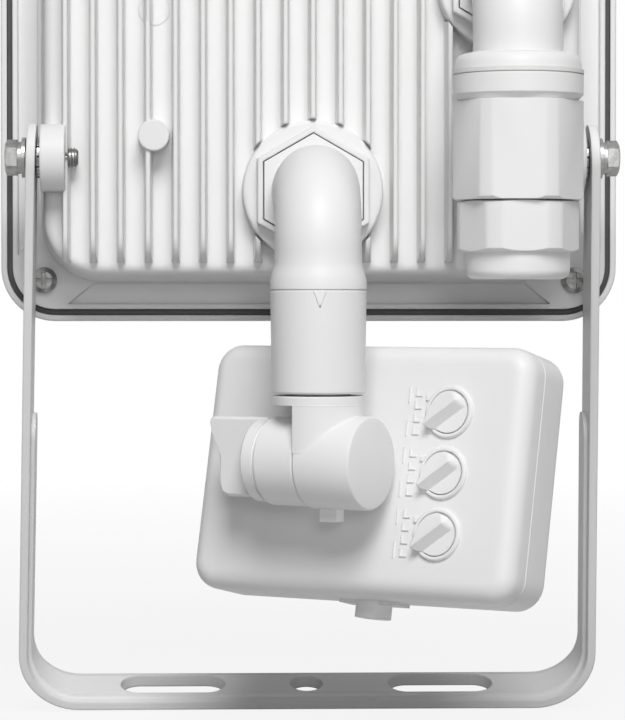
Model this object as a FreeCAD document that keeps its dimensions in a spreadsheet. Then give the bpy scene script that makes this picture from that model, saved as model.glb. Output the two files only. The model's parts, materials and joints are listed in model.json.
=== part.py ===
import FreeCAD, Part
import Sketcher
import math
import os

# Motion sensor floodlight, seen from the back: +X right, +Y towards the lit side, +Z up.
# The origin is the centre of the middle hole in the bracket's base, on its outer face.
# Lengths are in millimetres and angles in degrees.

doc = FreeCAD.newDocument("motion_sensor_floodlight")
sheet = doc.addObject("Spreadsheet::Sheet", "Sizes")

SIZES = [
    # Bracket: a strip bent to a U, hinged at the lamp's ears
    ("strip_thick", "2"),
    ("strip_wide", "15"),
    ("strip_half", "=strip_wide/2"),
    ("bracket_reach", "135"),
    ("bracket_swing", "20"),
    ("pivot_y", "=-bracket_reach*sin(bracket_swing)"),
    ("pivot_z", "=bracket_reach*cos(bracket_swing)"),
    ("base_spread", "4.8"),
    ("base_half", "=leg_inner_pivot+strip_thick+base_spread"),
    ("base_inner", "=base_half-strip_thick"),
    ("leg_inner", "=leg_inner_pivot-leg_lean*strip_half"),
    ("leg_outer", "=leg_inner+strip_thick"),
    ("leg_lean", "=(base_inner-leg_inner_pivot)/bracket_reach"),
    ("strip_span", "=2*leg_outer+10"),
    ("leg_round", "=strip_half-0.05"),
    ("bead_end_round", "=bead_wide/2-0.05"),
    ("hole_tool", "=strip_thick+bead_high+4"),
    ("hole_tool_low", "=base_under-2"),
    ("base_top", "=strip_thick-bracket_reach"),
    ("base_under", "=-bracket_reach"),
    ("bend_inner", "12"),
    ("bend_outer", "=bend_inner+strip_thick"),
    ("slot_long", "25"),
    ("slot_wide", "9"),
    ("slot_radius", "=slot_wide/2"),
    ("slot_pitch", "64.2"),
    ("slot_near", "=slot_pitch/2-slot_long/2+slot_radius"),
    ("slot_far", "=slot_pitch/2+slot_long/2-slot_radius"),
    ("middle_hole_radius", "3.9"),
    ("bead_high", "1"),
    ("bead_wide", "9.6"),
    ("bead_start", "-62"),
    ("bead_base_inner", "=base_inner-bead_high"),
    ("bead_base_top", "=base_top+bead_high"),
    ("bead_leg_inner", "=base_inner-leg_lean*(bracket_reach+bead_start)-bead_high"),
    ("bead_leg_root", "=bead_leg_inner+bead_high+strip_thick/2"),
    ("bead_base_root", "=base_inner+strip_thick/2"),
    ("bead_base_low", "=base_top-strip_thick/2"),
    ("bead_bend", "=bend_inner-bead_high"),
    ("bead_root_bend", "=bend_inner+strip_thick/2"),

    # Pivot hardware, stacked outwards from the ear
    ("bolt_radius", "2"),
    ("running_gap", "0.08"),
    ("side_gap", "0.3"),
    ("pivot_hole", "=bolt_radius+running_gap"),
    ("tap_hole", "=bolt_radius+0.03"),
    ("ear_thick", "5.5"),
    ("ear_set_in", "1.1"),
    ("ear_outer", "=body_half-ear_set_in"),
    ("ear_inner", "=ear_outer-ear_thick"),
    ("ear_radius", "7.5"),
    ("tooth_washer_thick", "0.8"),
    ("tooth_washer_radius", "4.6"),
    ("tooth_washer_outer", "=ear_outer+tooth_washer_thick"),
    ("leg_inner_pivot", "=tooth_washer_outer+side_gap"),
    ("washer_inner", "=leg_inner_pivot+strip_thick+side_gap"),
    ("washer_thick", "0.8"),
    ("washer_radius", "4.5"),
    ("spring_washer_inner", "=washer_inner+washer_thick"),
    ("spring_washer_thick", "1"),
    ("spring_washer_radius", "3.6"),
    ("spring_washer_split", "0.7"),
    ("head_inner", "=spring_washer_inner+spring_washer_thick"),
    ("head_thick", "2.8"),
    ("head_corner", "4.04"),
    ("bolt_long", "13.5"),
    ("bolt_end", "=head_inner-bolt_long"),
    ("bolt_head_outer", "=head_inner+head_thick"),
    ("bolt_head_bevel", "0.5"),
    ("bolt_head_flat", "=head_corner-0.9"),
    ("bolt_tip_bevel", "0.4"),
    ("bolt_tip_radius", "=bolt_radius-bolt_tip_bevel"),
    ("bolt_tip_start", "=bolt_end+bolt_tip_bevel"),
    ("head_bevel_outer", "=bolt_head_outer-bolt_head_bevel"),
    ("washer_outer", "=washer_inner+washer_thick"),
    ("washer_hole", "=bolt_radius+0.15"),
    ("spring_washer_outer", "=spring_washer_inner+spring_washer_thick"),
    ("split_half", "=spring_washer_split/2"),
    ("split_far", "6"),
    ("split_deep", "6"),
    ("tooth_deep", "0.7"),
    ("tooth_half", "0.5"),
    ("tooth_root", "=tooth_washer_radius-tooth_deep"),
    ("tooth_out", "=tooth_washer_radius+0.5"),
    ("tooth_count", "12"),

    # Rear housing: a die cast tray with fins on its back
    ("rim_border", "9.5"),
    ("rim_half", "=body_half+rim_border"),
    ("rim_low", "-36.8"),
    ("rim_high", "75.2"),
    ("rim_corner", "12.5"),
    ("rim_wall", "1.4"),
    ("rim_gap", "1.4"),
    ("flange_half", "=rim_half-rim_wall-rim_gap"),
    ("flange_low", "=rim_low+rim_wall+rim_gap"),
    ("flange_high", "=rim_high-rim_wall-rim_gap"),
    ("flange_corner", "=rim_corner-rim_wall-rim_gap"),
    ("flange_back", "22"),
    ("flange_thick", "4"),
    ("flange_front", "=flange_back+flange_thick"),
    ("plateau", "4"),
    ("body_deep", "=flange_back-plateau"),
    ("body_half", "62"),
    ("body_low", "-27.6"),
    ("body_high", "=rim_high+rim_low-body_low"),
    ("body_corner", "14"),
    ("body_draft", "-5"),
    ("body_edge", "2.4"),
    ("cavity_wall", "3"),
    ("cavity_half", "=body_half-cavity_wall-1.6"),
    ("cavity_low", "=body_low+cavity_wall+1.6"),
    ("cavity_high", "=body_high-cavity_wall-1.6"),
    ("cavity_corner", "=body_corner-cavity_wall"),
    ("cavity_deep", "=flange_front-plateau-cavity_wall"),
    ("fin_pitch", "6.16"),
    ("fin_high", "6"),
    ("fin_crest", "=plateau-fin_high"),
    ("fin_tip_half", "0.5"),
    ("fin_root_half", "0.95"),
    ("fin_root", "=plateau+0.5"),
    ("nose_wide", "3"),
    ("pin_boss_high", "=plateau-pin_boss_back"),
    ("pin_boss_top", "=rim_high+rim_low-pin_boss_height"),
    ("fin_side", "9"),
    ("fin_count", "=2*fin_side+1"),
    ("fin_run", "=2*fin_side*fin_pitch"),
    ("fin_first", "=-fin_side*fin_pitch"),
    ("fin_first_tip", "=fin_first+fin_tip_half"),
    ("fin_first_tip_left", "=fin_first-fin_tip_half"),
    ("fin_first_root", "=fin_first+fin_root_half"),
    ("fin_first_root_left", "=fin_first-fin_root_half"),
    ("fin_low", "=body_low+4.3"),
    ("fin_top", "=rim_high+rim_low-fin_low"),
    ("fin_long", "=fin_top-fin_low"),
    ("nose_radius", "=fin_high-0.1"),
    ("nose_front", "=fin_crest+nose_radius"),
    ("nose_low_centre", "=fin_low+nose_radius"),
    ("nose_top_centre", "=fin_top-nose_radius"),
    ("nose_back", "=fin_crest-1"),
    ("nose_low_out", "=fin_low-1"),
    ("nose_top_out", "=fin_top+1"),
    ("pin_boss_radius", "3.5"),
    ("pin_boss_side", "35.7"),
    ("pin_boss_height", "5"),
    ("pin_boss_back", "-2.6"),
    ("tray_deep", "1.6"),
    ("tray_gap", "1.5"),
    ("tray_lip", "1.2"),
    ("tray_side_out", "=flange_half-tray_lip"),
    ("tray_side_in", "=body_half+tray_gap-0.6"),
    ("tray_low_out", "=flange_low+tray_lip"),
    ("tray_low_in", "=body_low-0.4"),
    ("tray_high_out", "=flange_high-tray_lip"),
    ("tray_high_in", "=body_high+0.4"),
    ("tray_slant", "6"),
    ("tray_cut_x", "=body_half-body_corner+2"),
    ("tray_cut_x_out", "=tray_cut_x+tray_slant"),
    ("tray_cut_low", "=body_low+body_corner-2"),
    ("tray_cut_low_out", "=tray_cut_low-tray_slant"),
    ("tray_cut_high", "=body_high-body_corner+2"),
    ("tray_cut_high_out", "=tray_cut_high+tray_slant"),

    # Two round bosses with six-sided sockets, one for the sensor arm and one for the cable inlet
    ("socket_disc_radius", "15.8"),
    ("socket_disc_back", "-1"),
    ("socket_rim_back", "-4"),
    ("socket_rim_corner", "14.4"),
    ("plug_flat_half", "11"),
    ("plug_corner", "=plug_flat_half/cos(30)"),
    ("socket_gap", "0.25"),
    ("socket_corner", "=(plug_flat_half+socket_gap)/cos(30)"),
    ("socket_floor", "1"),
    ("socket_disc_high", "=plateau+1-socket_disc_back"),
    ("socket_clear", "12"),
    ("socket_clear_radius", "=socket_disc_radius+0.5"),
    ("tap_deep", "=ear_outer-bolt_end+1"),
    ("screw_hole_deep", "6"),
    ("socket_rim_high", "=socket_disc_back-socket_rim_back"),
    ("socket_deep", "=socket_floor-socket_rim_back"),
    ("wire_hole_deep", "=cavity_floor+1-socket_rim_back"),
    ("ear_root", "=plateau+3"),
    ("hex_turn", "30"),
    ("post_radius", "3"),
    ("post_set_in", "6.4"),
    ("post_x", "=board_half-post_set_in"),
    ("post_low", "=board_low+8"),
    ("post_high", "=board_high-8"),
    ("disc_edge", "0.8"),
    ("wire_hole_radius", "6"),
    ("arm_x", "0"),
    ("arm_z", "-7.4"),
    ("inlet_set_in", "18.3"),
    ("inlet_x", "=body_half-inlet_set_in"),
    ("inlet_z", "39.9"),

    # Corner screws that hold the front frame to the housing
    ("screw_border", "7.2"),
    ("screw_side", "=flange_half-screw_border"),
    ("screw_low", "=flange_low+screw_border-0.5"),
    ("screw_high", "=rim_high+rim_low-screw_low"),
    ("screw_radius", "1.5"),
    ("screw_head_radius", "3"),
    ("screw_head_high", "1.8"),
    ("screw_back", "=flange_back-screw_head_high"),
    ("screw_long", "9"),
    ("screw_hole", "=screw_radius+0.05"),
    ("screw_dome", "0.7"),
    ("screw_dome_top_radius", "=screw_head_radius-1"),
    ("screw_end", "=screw_head_high+screw_long"),
    ("screw_cross", "1.9"),
    ("screw_cross_half", "0.45"),
    ("screw_cross_deep", "1"),

    # Front frame, glass, seal and light engine
    ("frame_back", "=flange_back+1.4"),
    ("frame_front", "34"),
    ("frame_deep", "=frame_front-frame_back"),
    ("frame_step", "=flange_front"),
    ("frame_step_deep", "=frame_step-frame_back"),
    ("frame_inner_half", "=rim_half-rim_wall"),
    ("frame_inner_low", "=rim_low+rim_wall"),
    ("frame_inner_high", "=rim_high-rim_wall"),
    ("frame_inner_corner", "=rim_corner-rim_wall"),
    ("window_border", "12"),
    ("window_half", "=rim_half-window_border"),
    ("window_low", "=rim_low+window_border"),
    ("window_high", "=rim_high-window_border"),
    ("window_corner", "6"),
    ("glass_corner", "9"),
    ("glass_lap", "3"),
    ("glass_half", "=window_half+glass_lap"),
    ("glass_low", "=window_low-glass_lap"),
    ("glass_high", "=window_high+glass_lap"),
    ("glass_thick", "4"),
    ("glass_front", "=frame_front-1.8"),
    ("glass_back", "=glass_front-glass_thick"),
    ("seal_thick", "=glass_back-flange_front"),
    ("pocket_half", "=glass_half+0.3"),
    ("pocket_low", "=glass_low-0.3"),
    ("pocket_high", "=glass_high+0.3"),
    ("pocket_deep", "=glass_front-frame_back"),
    ("seal_wide", "3"),
    ("seal_inner_half", "=glass_half-seal_wide"),
    ("seal_inner_low", "=glass_low+seal_wide"),
    ("seal_inner_high", "=glass_high-seal_wide"),
    ("cavity_floor", "=plateau+cavity_wall"),
    ("board_gap", "1"),
    ("board_half", "=cavity_half-board_gap"),
    ("board_low", "=cavity_low+board_gap"),
    ("board_high", "=cavity_high-board_gap"),
    ("standoff", "8"),
    ("board_back", "=cavity_floor+standoff"),
    ("board_thick", "1.6"),
    ("board_front", "=board_back+board_thick"),
    ("chip_side", "3.2"),
    ("chip_high", "0.8"),
    ("chip_columns", "9"),
    ("chip_pitch_x", "11"),
    ("chip_pitch_z", "12"),
    ("chip_middle", "=(board_low+board_high)/2"),
    ("chip_run", "=(chip_columns-1)*chip_pitch_x"),
    ("chip_left", "=-chip_run/2-chip_side/2"),
    ("chip_right", "=chip_left+chip_side"),
    ("chip_low_0", "=chip_middle-5*chip_pitch_z/2-chip_side/2"),
    ("chip_high_0", "=chip_low_0+chip_side"),
    ("chip_low_1", "=chip_middle-3*chip_pitch_z/2-chip_side/2"),
    ("chip_high_1", "=chip_low_1+chip_side"),
    ("chip_low_2", "=chip_middle-1*chip_pitch_z/2-chip_side/2"),
    ("chip_high_2", "=chip_low_2+chip_side"),
    ("chip_low_3", "=chip_middle+1*chip_pitch_z/2-chip_side/2"),
    ("chip_high_3", "=chip_low_3+chip_side"),
    ("chip_low_4", "=chip_middle+3*chip_pitch_z/2-chip_side/2"),
    ("chip_high_4", "=chip_low_4+chip_side"),
    ("chip_low_5", "=chip_middle+5*chip_pitch_z/2-chip_side/2"),
    ("chip_high_5", "=chip_low_5+chip_side"),
    ("board_corner", "=cavity_corner-board_gap"),
    ("frame_front_round", "1.6"),
    ("frame_back_round", "0.5"),
    ("frame_through", "=frame_deep+2"),
    ("frame_hole_deep", "=frame_front-2-frame_back"),
    ("reflector_thick", "1.2"),
    ("reflector_slope", "-20"),
    ("reflector_half", "=cavity_half-0.3"),
    ("reflector_low", "=cavity_low+0.3"),
    ("reflector_high", "=cavity_high-0.3"),
    ("reflector_corner", "=cavity_corner-0.3"),
    ("reflector_inner_half", "=reflector_half-reflector_thick"),
    ("reflector_inner_low", "=reflector_low+reflector_thick"),
    ("reflector_inner_high", "=reflector_high-reflector_thick"),
    ("reflector_inner_corner", "=reflector_corner-reflector_thick"),
    ("block_corner", "1"),
    ("driver_left", "-40"),
    ("driver_right", "10"),
    ("driver_low", "15"),
    ("driver_high", "50"),
    ("driver_high_y", "7"),
    ("terminal_left", "16"),
    ("terminal_right", "34"),
    ("terminal_low", "8"),
    ("terminal_high", "18"),
    ("terminal_high_y", "7"),
    ("reflector_lip", "=flange_front-0.2"),
    ("reflector_deep", "=reflector_lip-board_front"),

    # Cable inlet: elbow, threaded body, collar, gland nut and seal, all on one upright axis
    ("inlet_y", "-24.4"),
    ("inlet_tube", "9.8"),
    ("elbow_wall", "2.4"),
    ("inlet_bore", "=inlet_tube-elbow_wall"),
    ("bend_radius", "14"),
    ("inlet_bend_y", "=inlet_y+bend_radius"),
    ("inlet_bend_z", "=inlet_z-bend_radius"),
    ("inlet_stub", "=plug_back-inlet_bend_y"),
    ("inlet_drop", "=inlet_bend_z-cap_top+0.5"),
    ("inlet_drop_low", "=cap_top-0.5"),
    ("arm_bend_y", "=arm_y+bend_radius"),
    ("arm_bend_z", "=arm_z-bend_radius"),
    ("arm_stub", "=plug_back-arm_bend_y"),
    ("arm_drop", "=arm_bend_z-arm_flare_top+0.5"),
    ("arm_drop_low", "=arm_flare_top-0.5"),
    ("inlet_way", "=thread_low-1"),
    ("inlet_way_long", "=inlet_bend_z-inlet_way"),
    ("arm_way", "=arm_spigot_low-1"),
    ("arm_way_long", "=arm_bend_z-arm_way"),
    ("stub_bore_long_inlet", "=socket_floor+1-inlet_bend_y"),
    ("stub_bore_long_arm", "=socket_floor+1-arm_bend_y"),
    ("cap_top_radius", "=inlet_tube+1.2"),
    ("cap_top_mid", "=cap_top-0.5"),
    ("cap_mid_radius", "=(cap_top_radius+cap_radius)/2+0.5"),
    ("cap_edge_radius", "=band_radius-0.4"),
    ("band_top", "=cap_low"),
    ("band_inner", "=thread_radius+0.05"),
    ("collar_cone", "=collar_neck-1.4"),
    ("collar_cone_radius", "=collar_flat-0.2"),
    ("collar_bevel", "0.6"),
    ("collar_bevel_radius", "=collar_radius-collar_bevel"),
    ("collar_bevel_low", "=collar_low+collar_bevel"),
    ("collar_prism_high", "=collar_cone-collar_low"),
    ("collar_round_top", "=collar_top-0.3"),
    ("collar_top_radius", "=collar_radius-0.3"),
    ("plug_back", "=socket_rim_back-0.4"),
    ("plug_deep", "=socket_floor-plug_back"),
    ("cap_top", "21.6"),
    ("cap_radius", "13.6"),
    ("cap_shoulder", "20"),
    ("cap_low", "17.9"),
    ("band_radius", "14.3"),
    ("band_low", "17"),
    ("collar_radius", "14.2"),
    ("collar_flat", "13.07"),
    ("collar_corner", "=collar_flat/cos(30)"),
    ("collar_top", "=band_low"),
    ("collar_neck", "12.6"),
    ("collar_low", "-10.2"),
    ("collar_wall", "2.6"),
    ("collar_bore", "=collar_radius-collar_wall-1.2"),
    ("thread_radius", "=collar_bore-0.1"),
    ("thread_low", "-7"),
    ("nut_radius", "13.2"),
    ("nut_flat", "12.3"),
    ("nut_corner", "=nut_flat/cos(30)"),
    ("nut_top", "-10.4"),
    ("nut_low", "-21.5"),
    ("nut_chamfer", "1.2"),
    ("nut_bevel_radius", "=nut_radius-nut_chamfer"),
    ("nut_bevel_low", "=nut_low+nut_chamfer*0.6"),
    ("nut_deep", "=nut_top-nut_low"),
    ("sleeve_radius", "11.3"),
    ("sleeve_low", "-27.3"),
    ("sleeve_round", "2"),
    ("cord_hole", "4.6"),
    ("seal_radius", "8"),
    ("seal_hole", "3.6"),
    ("collar_step", "=thread_low-0.2"),
    ("nipple_radius", "9.8"),
    ("nipple_low", "-16"),
    ("nut_thread", "=nipple_radius+0.08"),
    ("nut_shoulder", "=nipple_low-0.2"),
    ("gland_turn", "-4.3"),
    ("nut_turn", "2"),
    ("seal_top", "-9"),
    ("seal_low", "-23"),
    ("nut_bore", "=seal_radius+0.05"),
    ("nut_step", "-23.1"),

    # Sensor arm: elbow and sleeve on one upright axis, knuckle below
    ("arm_y", "-34.8"),
    ("arm_tube", "9.3"),
    ("arm_flare", "10.3"),
    ("arm_bore", "4.5"),
    ("arm_flare_top", "-24"),
    ("arm_flare_low", "-27.6"),
    ("arm_low", "-29.6"),
    ("collar_sleeve_radius", "10.1"),
    ("collar_sleeve_top", "=arm_low"),
    ("collar_sleeve_low", "-52.8"),
    ("collar_sleeve_low_radius", "9.6"),
    ("spigot_radius", "7"),
    ("spigot_bore", "=spigot_radius+running_gap"),
    ("spigot_top", "-42"),
    ("arm_spigot_low", "-41"),
    ("arm_spigot", "=spigot_bore-0.05"),
    ("swivel_gap", "0.35"),
    ("head_yaw", "33.6"),
    ("head_pitch", "12"),
    ("knuckle_z", "-66.4"),
    ("knuckle_radius", "9.5"),
    ("knuckle_top", "=collar_sleeve_low-swivel_gap"),
    ("knuckle_rise", "=knuckle_top-knuckle_z"),
    ("spigot_rise", "=spigot_top-knuckle_z"),
    ("knuckle_disc_thick", "1.9"),
    ("knuckle_disc_low", "=knuckle_rise-knuckle_disc_thick"),
    ("knuckle_column", "9.8"),
    ("knuckle_split", "-5.8"),
    ("knuckle_end", "13.4"),
    ("knuckle_long", "=knuckle_end-knuckle_split"),
    ("knuckle_gap", "0.3"),
    ("knuckle_wire", "3"),
    ("stop_half_x", "2.3"),
    ("stop_half_y", "1.6"),
    ("stop_drop", "2.6"),
    ("lug_right", "=knuckle_split-knuckle_gap"),
    ("lug_left", "-15.9"),
    ("lug_long", "=lug_right-lug_left"),
    ("lug_neck_half", "7"),
    ("clamp_radius", "2"),
    ("clamp_hole", "=clamp_radius+running_gap"),
    ("clamp_tip", "6"),
    ("clamp_pocket", "8"),
    ("wing_collar_radius", "8.7"),
    ("wing_collar_right", "=lug_left-0.3"),
    ("wing_collar_thick", "2.6"),
    ("wing_collar_left", "=wing_collar_right-wing_collar_thick"),
    ("wing_left", "-25.2"),
    ("wing_half_high", "8.8"),
    ("wing_half_thick", "1.6"),
    ("wing_dish", "3.4"),
    ("wing_waist", "=wing_left+wing_dish"),
    ("wing_corner", "1.4"),

    # Sensor head, in its own frame: back towards -Y, origin on the knuckle's axis
    ("head_back", "12"),
    ("head_half", "39.7"),
    ("head_middle", "3.4"),
    ("head_left", "=head_middle-head_half"),
    ("head_right", "=head_middle+head_half"),
    ("head_low", "-26.3"),
    ("head_high", "28.2"),
    ("head_corner_radius", "9"),
    ("cover_deep", "7"),
    ("cover_edge", "3.6"),
    ("shell_wall", "2"),
    ("cover_front", "=head_back+cover_deep"),
    ("shell_deep", "11"),
    ("shell_front", "=cover_front+shell_deep"),
    ("inner_left", "=head_left+shell_wall"),
    ("inner_right", "=head_right-shell_wall"),
    ("inner_low", "=head_low+shell_wall"),
    ("inner_high", "=head_high-shell_wall"),
    ("inner_corner", "=head_corner_radius-shell_wall"),
    ("cover_floor", "=head_back+shell_wall+0.6"),
    ("shell_floor", "=shell_front-shell_wall"),
    ("lens_radius", "19"),
    ("lens_high", "13"),
    ("lens_wall", "1"),
    ("lens_flange", "1.2"),
    ("lens_flange_radius", "20.5"),
    ("lens_middle_z", "0.9"),
    ("lens_hole", "=lens_radius+0.2"),
    ("dial_x", "24"),
    ("dial_z", "0.2"),
    ("dial_pitch", "13.2"),
    ("dial_ring", "5.6"),
    ("dial_ring_high", "0.7"),
    ("dial_hole", "=dial_radius+0.15"),
    ("dial_radius", "4.6"),
    ("dial_proud", "=dial_ring_high+0.1"),
    ("dial_deep", "1.2"),
    ("dial_recess", "=dial_ring_high+dial_deep+0.05"),
    ("dial_hole_stem", "=dial_stem+0.08"),
    ("stem_hole_deep", "9"),
    ("dial_bar_half", "0.95"),
    ("dial_bar_high", "2"),
    ("dial_bar_long", "4.4"),
    ("dial_bar_tip", "5.9"),
    ("dial_stem", "1.5"),
    ("dial_stem_deep", "7.5"),
    ("dial_turn", "-148"),
    ("bottom_cap_radius", "4"),
    ("bottom_cap_long", "4.2"),
    ("bottom_pad_half_x", "7.2"),
    ("bottom_pad_half_y", "3"),
    ("bottom_pad_high", "1.3"),
    ("bottom_y", "=cover_front+5"),
    ("sensor_board_y", "=cover_front+1.2"),
    ("sensor_board_thick", "1.6"),
    ("sensor_board_edge", "1.2"),
    ("sensor_board_front", "=sensor_board_y+sensor_board_thick"),
    ("pot_half", "3.2"),
    ("pot_high", "=sensor_board_y-cover_floor-0.8"),
    ("pot_back", "=sensor_board_y-pot_high"),
    ("can_radius", "4.6"),
    ("can_high", "4"),
    ("board_rest", "2"),
    ("rest_left", "=inner_left+4"),
    ("rest_right", "=inner_right-4"),
    ("rest_low", "=inner_low+4"),
    ("rest_high", "=inner_high-4"),
    ("rest_long", "=sensor_board_y-cover_floor"),
    ("cover_cavity", "=cover_front-cover_floor"),
    ("shell_cavity", "=shell_floor-cover_front"),
    ("shell_edge", "3"),
    ("shell_through", "=shell_deep+2"),
    ("sensor_left", "=inner_left+sensor_board_edge"),
    ("sensor_right", "=inner_right-sensor_board_edge"),
    ("sensor_low", "=inner_low+sensor_board_edge"),
    ("sensor_high", "=inner_high-sensor_board_edge"),
    ("lens_sphere", "=(lens_radius^2+lens_high^2)/(2*lens_high)"),
    ("lens_inner_sphere", "=lens_sphere-lens_wall"),
    ("lens_inner_radius", "=lens_radius-lens_wall"),
    ("lens_drop", "=lens_high-lens_sphere"),
    ("lens_full", "=lens_high+lens_flange"),
    ("dial_low_z", "=dial_z-dial_pitch"),
    ("dial_top_z", "=dial_z+dial_pitch"),
    ("pot_corner", "0.4"),
    ("pot_shaft_hole", "=dial_stem+0.08"),
    ("dial_bottom", "=-dial_deep"),
    ("dial_stem_end", "=-dial_stem_deep"),
    ("dial_bar_point", "=dial_bar_tip-1.2"),
    ("dial_bevel_radius", "=dial_radius-0.3"),
    ("dial_bevel", "=dial_proud-0.3"),
    ("wing_thick", "=2*wing_half_thick"),
    ("wing_dish_side", "5"),
    ("wing_dish_start", "=wing_left+0.9"),
    ("clamp_long", "=clamp_tip-wing_collar_right"),
    ("clamp_bore_left", "=lug_left-1"),
    ("clamp_bore_long", "=clamp_pocket-lug_left+1"),
    ("clip_wide", "30"),
    ("clip_half", "=clip_wide/2"),
    ("clip_left", "=knuckle_split-clip_wide"),
    ("clip_low", "=knuckle_disc_low-clip_wide"),
    ("column_low", "2"),
    ("stop_x", "3"),
    ("wire_bore_long", "=spigot_rise+1"),
    ("seal_bottom", "=nipple_low-1"),
    ("nut_bottom", "=sleeve_low-1"),
    ("nut_bevel_top", "=nut_top-0.4"),
    ("lug_neck_end", "=head_back+1"),
    ("lug_bore_long", "=lug_long+2"),
    ("dial_ring_back", "=head_back-dial_ring_high"),
    ("bottom_pad_long", "=2*bottom_pad_half_x"),
    ("bottom_pad_wide", "=2*bottom_pad_half_y"),
    ("stop_left", "=stop_x-stop_half_x"),
    ("stop_wide", "=2*stop_half_x"),
    ("stop_back", "=-stop_half_y"),
    ("stop_thick", "=2*stop_half_y"),
    ("stop_low", "=-knuckle_radius-stop_drop"),
    ("stop_high", "=stop_drop+1.5"),
    ("knuckle_round", "0.8"),
]

for row, (word, text) in enumerate(SIZES, 1):
    sheet.set("A%d" % row, word)
    sheet.set("B%d" % row, "0")
    sheet.setAlias("B%d" % row, word)
for row, (word, text) in enumerate(SIZES, 1):
    sheet.set("B%d" % row, text)
doc.recompute()


def is_plain(text):
    """True for a plain number, False for the name of a size."""
    return text.lstrip("-").replace(".", "", 1).isdigit()


def number(text):
    """The value of a size, of its negative, or of a plain number."""
    if is_plain(text):
        return float(text)
    sign = -1.0 if text.startswith("-") else 1.0
    return sign * float(sheet.get(text.lstrip("-")))


def cell(text, sign=1):
    """The expression that reads a size, or its negative."""
    negative = text.startswith("-") != (sign < 0)
    name = text.lstrip("-")
    source = name if is_plain(text) else "Sizes." + name
    return "-" + source if negative else source


def new_body(label):
    """An empty body."""
    body = doc.addObject("PartDesign::Body", label)
    body.Label = label
    return body


def plane(body, role):
    """One of the body's own origin planes."""
    for item in body.Origin.OriginFeatures:
        if item.Role == role:
            return item
    raise ValueError(role)


def new_sketch(body, role, name, level=None):
    """A sketch on an origin plane, moved along the plane's normal by a size."""
    sketch = body.newObject("Sketcher::SketchObject", name)
    sketch.AttachmentSupport = (plane(body, role), [""])
    sketch.MapMode = "FlatFace"
    if level is not None:
        sketch.setExpression("AttachmentOffset.Base.z", cell(level))
    return sketch


def tie(sketch, kind, geometry, point, text):
    """Ties one coordinate of a point to a size, measured from the sketch's origin."""
    amount = number(text)
    if text == "0":
        axis = -2 if kind == "DistanceX" else -1
        sketch.addConstraint(Sketcher.Constraint("PointOnObject", geometry, point, axis))
        return
    if amount < 0:
        rule = Sketcher.Constraint(kind, geometry, point, -1, 1, -amount)
        source = cell(text, -1)
    else:
        rule = Sketcher.Constraint(kind, -1, 1, geometry, point, amount)
        source = cell(text)
    index = sketch.addConstraint(rule)
    sketch.setExpression("Constraints[%d]" % index, source)


def polygon(sketch, corners):
    """A closed outline of straight lines through named corners."""
    points = [FreeCAD.Vector(number(x), number(y), 0) for x, y in corners]
    first = sketch.GeometryCount
    count = len(points)
    for i in range(count):
        sketch.addGeometry(Part.LineSegment(points[i], points[(i + 1) % count]), False)
    for i in range(count):
        after = first + (i + 1) % count
        sketch.addConstraint(Sketcher.Constraint("Coincident", first + i, 2, after, 1))
    for i, (x, y) in enumerate(corners):
        tie(sketch, "DistanceX", first + i, 1, x)
        tie(sketch, "DistanceY", first + i, 1, y)


def circle(sketch, x, y, radius):
    """A circle round a named centre."""
    centre = FreeCAD.Vector(number(x), number(y), 0)
    shape = Part.Circle(centre, FreeCAD.Vector(0, 0, 1), number(radius))
    index = sketch.addGeometry(shape, False)
    tie(sketch, "DistanceX", index, 3, x)
    tie(sketch, "DistanceY", index, 3, y)
    rule = sketch.addConstraint(Sketcher.Constraint("Radius", index, number(radius)))
    sketch.setExpression("Constraints[%d]" % rule, cell(radius))


def arc(x, y, radius, start, end):
    """A round corner between two angles, in degrees."""
    ring = Part.Circle(FreeCAD.Vector(x, y, 0), FreeCAD.Vector(0, 0, 1), radius)
    return Part.ArcOfCircle(ring, math.radians(start), math.radians(end))


def line(x1, y1, x2, y2):
    """A straight line between two points."""
    return Part.LineSegment(FreeCAD.Vector(x1, y1, 0), FreeCAD.Vector(x2, y2, 0))


def rounded(sketch, left, right, low, high, radius):
    """A rectangle with round corners."""
    a, b, c, d, r = [number(item) for item in (left, right, low, high, radius)]
    first = sketch.GeometryCount
    pieces = [
        line(a + r, c, b - r, c),
        arc(b - r, c + r, r, -90, 0),
        line(b, c + r, b, d - r),
        arc(b - r, d - r, r, 0, 90),
        line(b - r, d, a + r, d),
        arc(a + r, d - r, r, 90, 180),
        line(a, d - r, a, c + r),
        arc(a + r, c + r, r, 180, 270),
    ]
    for piece in pieces:
        sketch.addGeometry(piece, False)
    for i in range(8):
        after = first + (i + 1) % 8
        sketch.addConstraint(Sketcher.Constraint("Tangent", first + i, 2, after, 1))
    for i in (0, 4):
        sketch.addConstraint(Sketcher.Constraint("Horizontal", first + i))
        sketch.addConstraint(Sketcher.Constraint("Vertical", first + i + 2))
    for i in (3, 5, 7):
        sketch.addConstraint(Sketcher.Constraint("Equal", first + 1, first + i))
    rule = sketch.addConstraint(Sketcher.Constraint("Radius", first + 1, r))
    sketch.setExpression("Constraints[%d]" % rule, cell(radius))
    tie(sketch, "DistanceX", first + 6, 1, left)
    tie(sketch, "DistanceX", first + 2, 1, right)
    tie(sketch, "DistanceY", first, 1, low)
    tie(sketch, "DistanceY", first + 4, 1, high)


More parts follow.
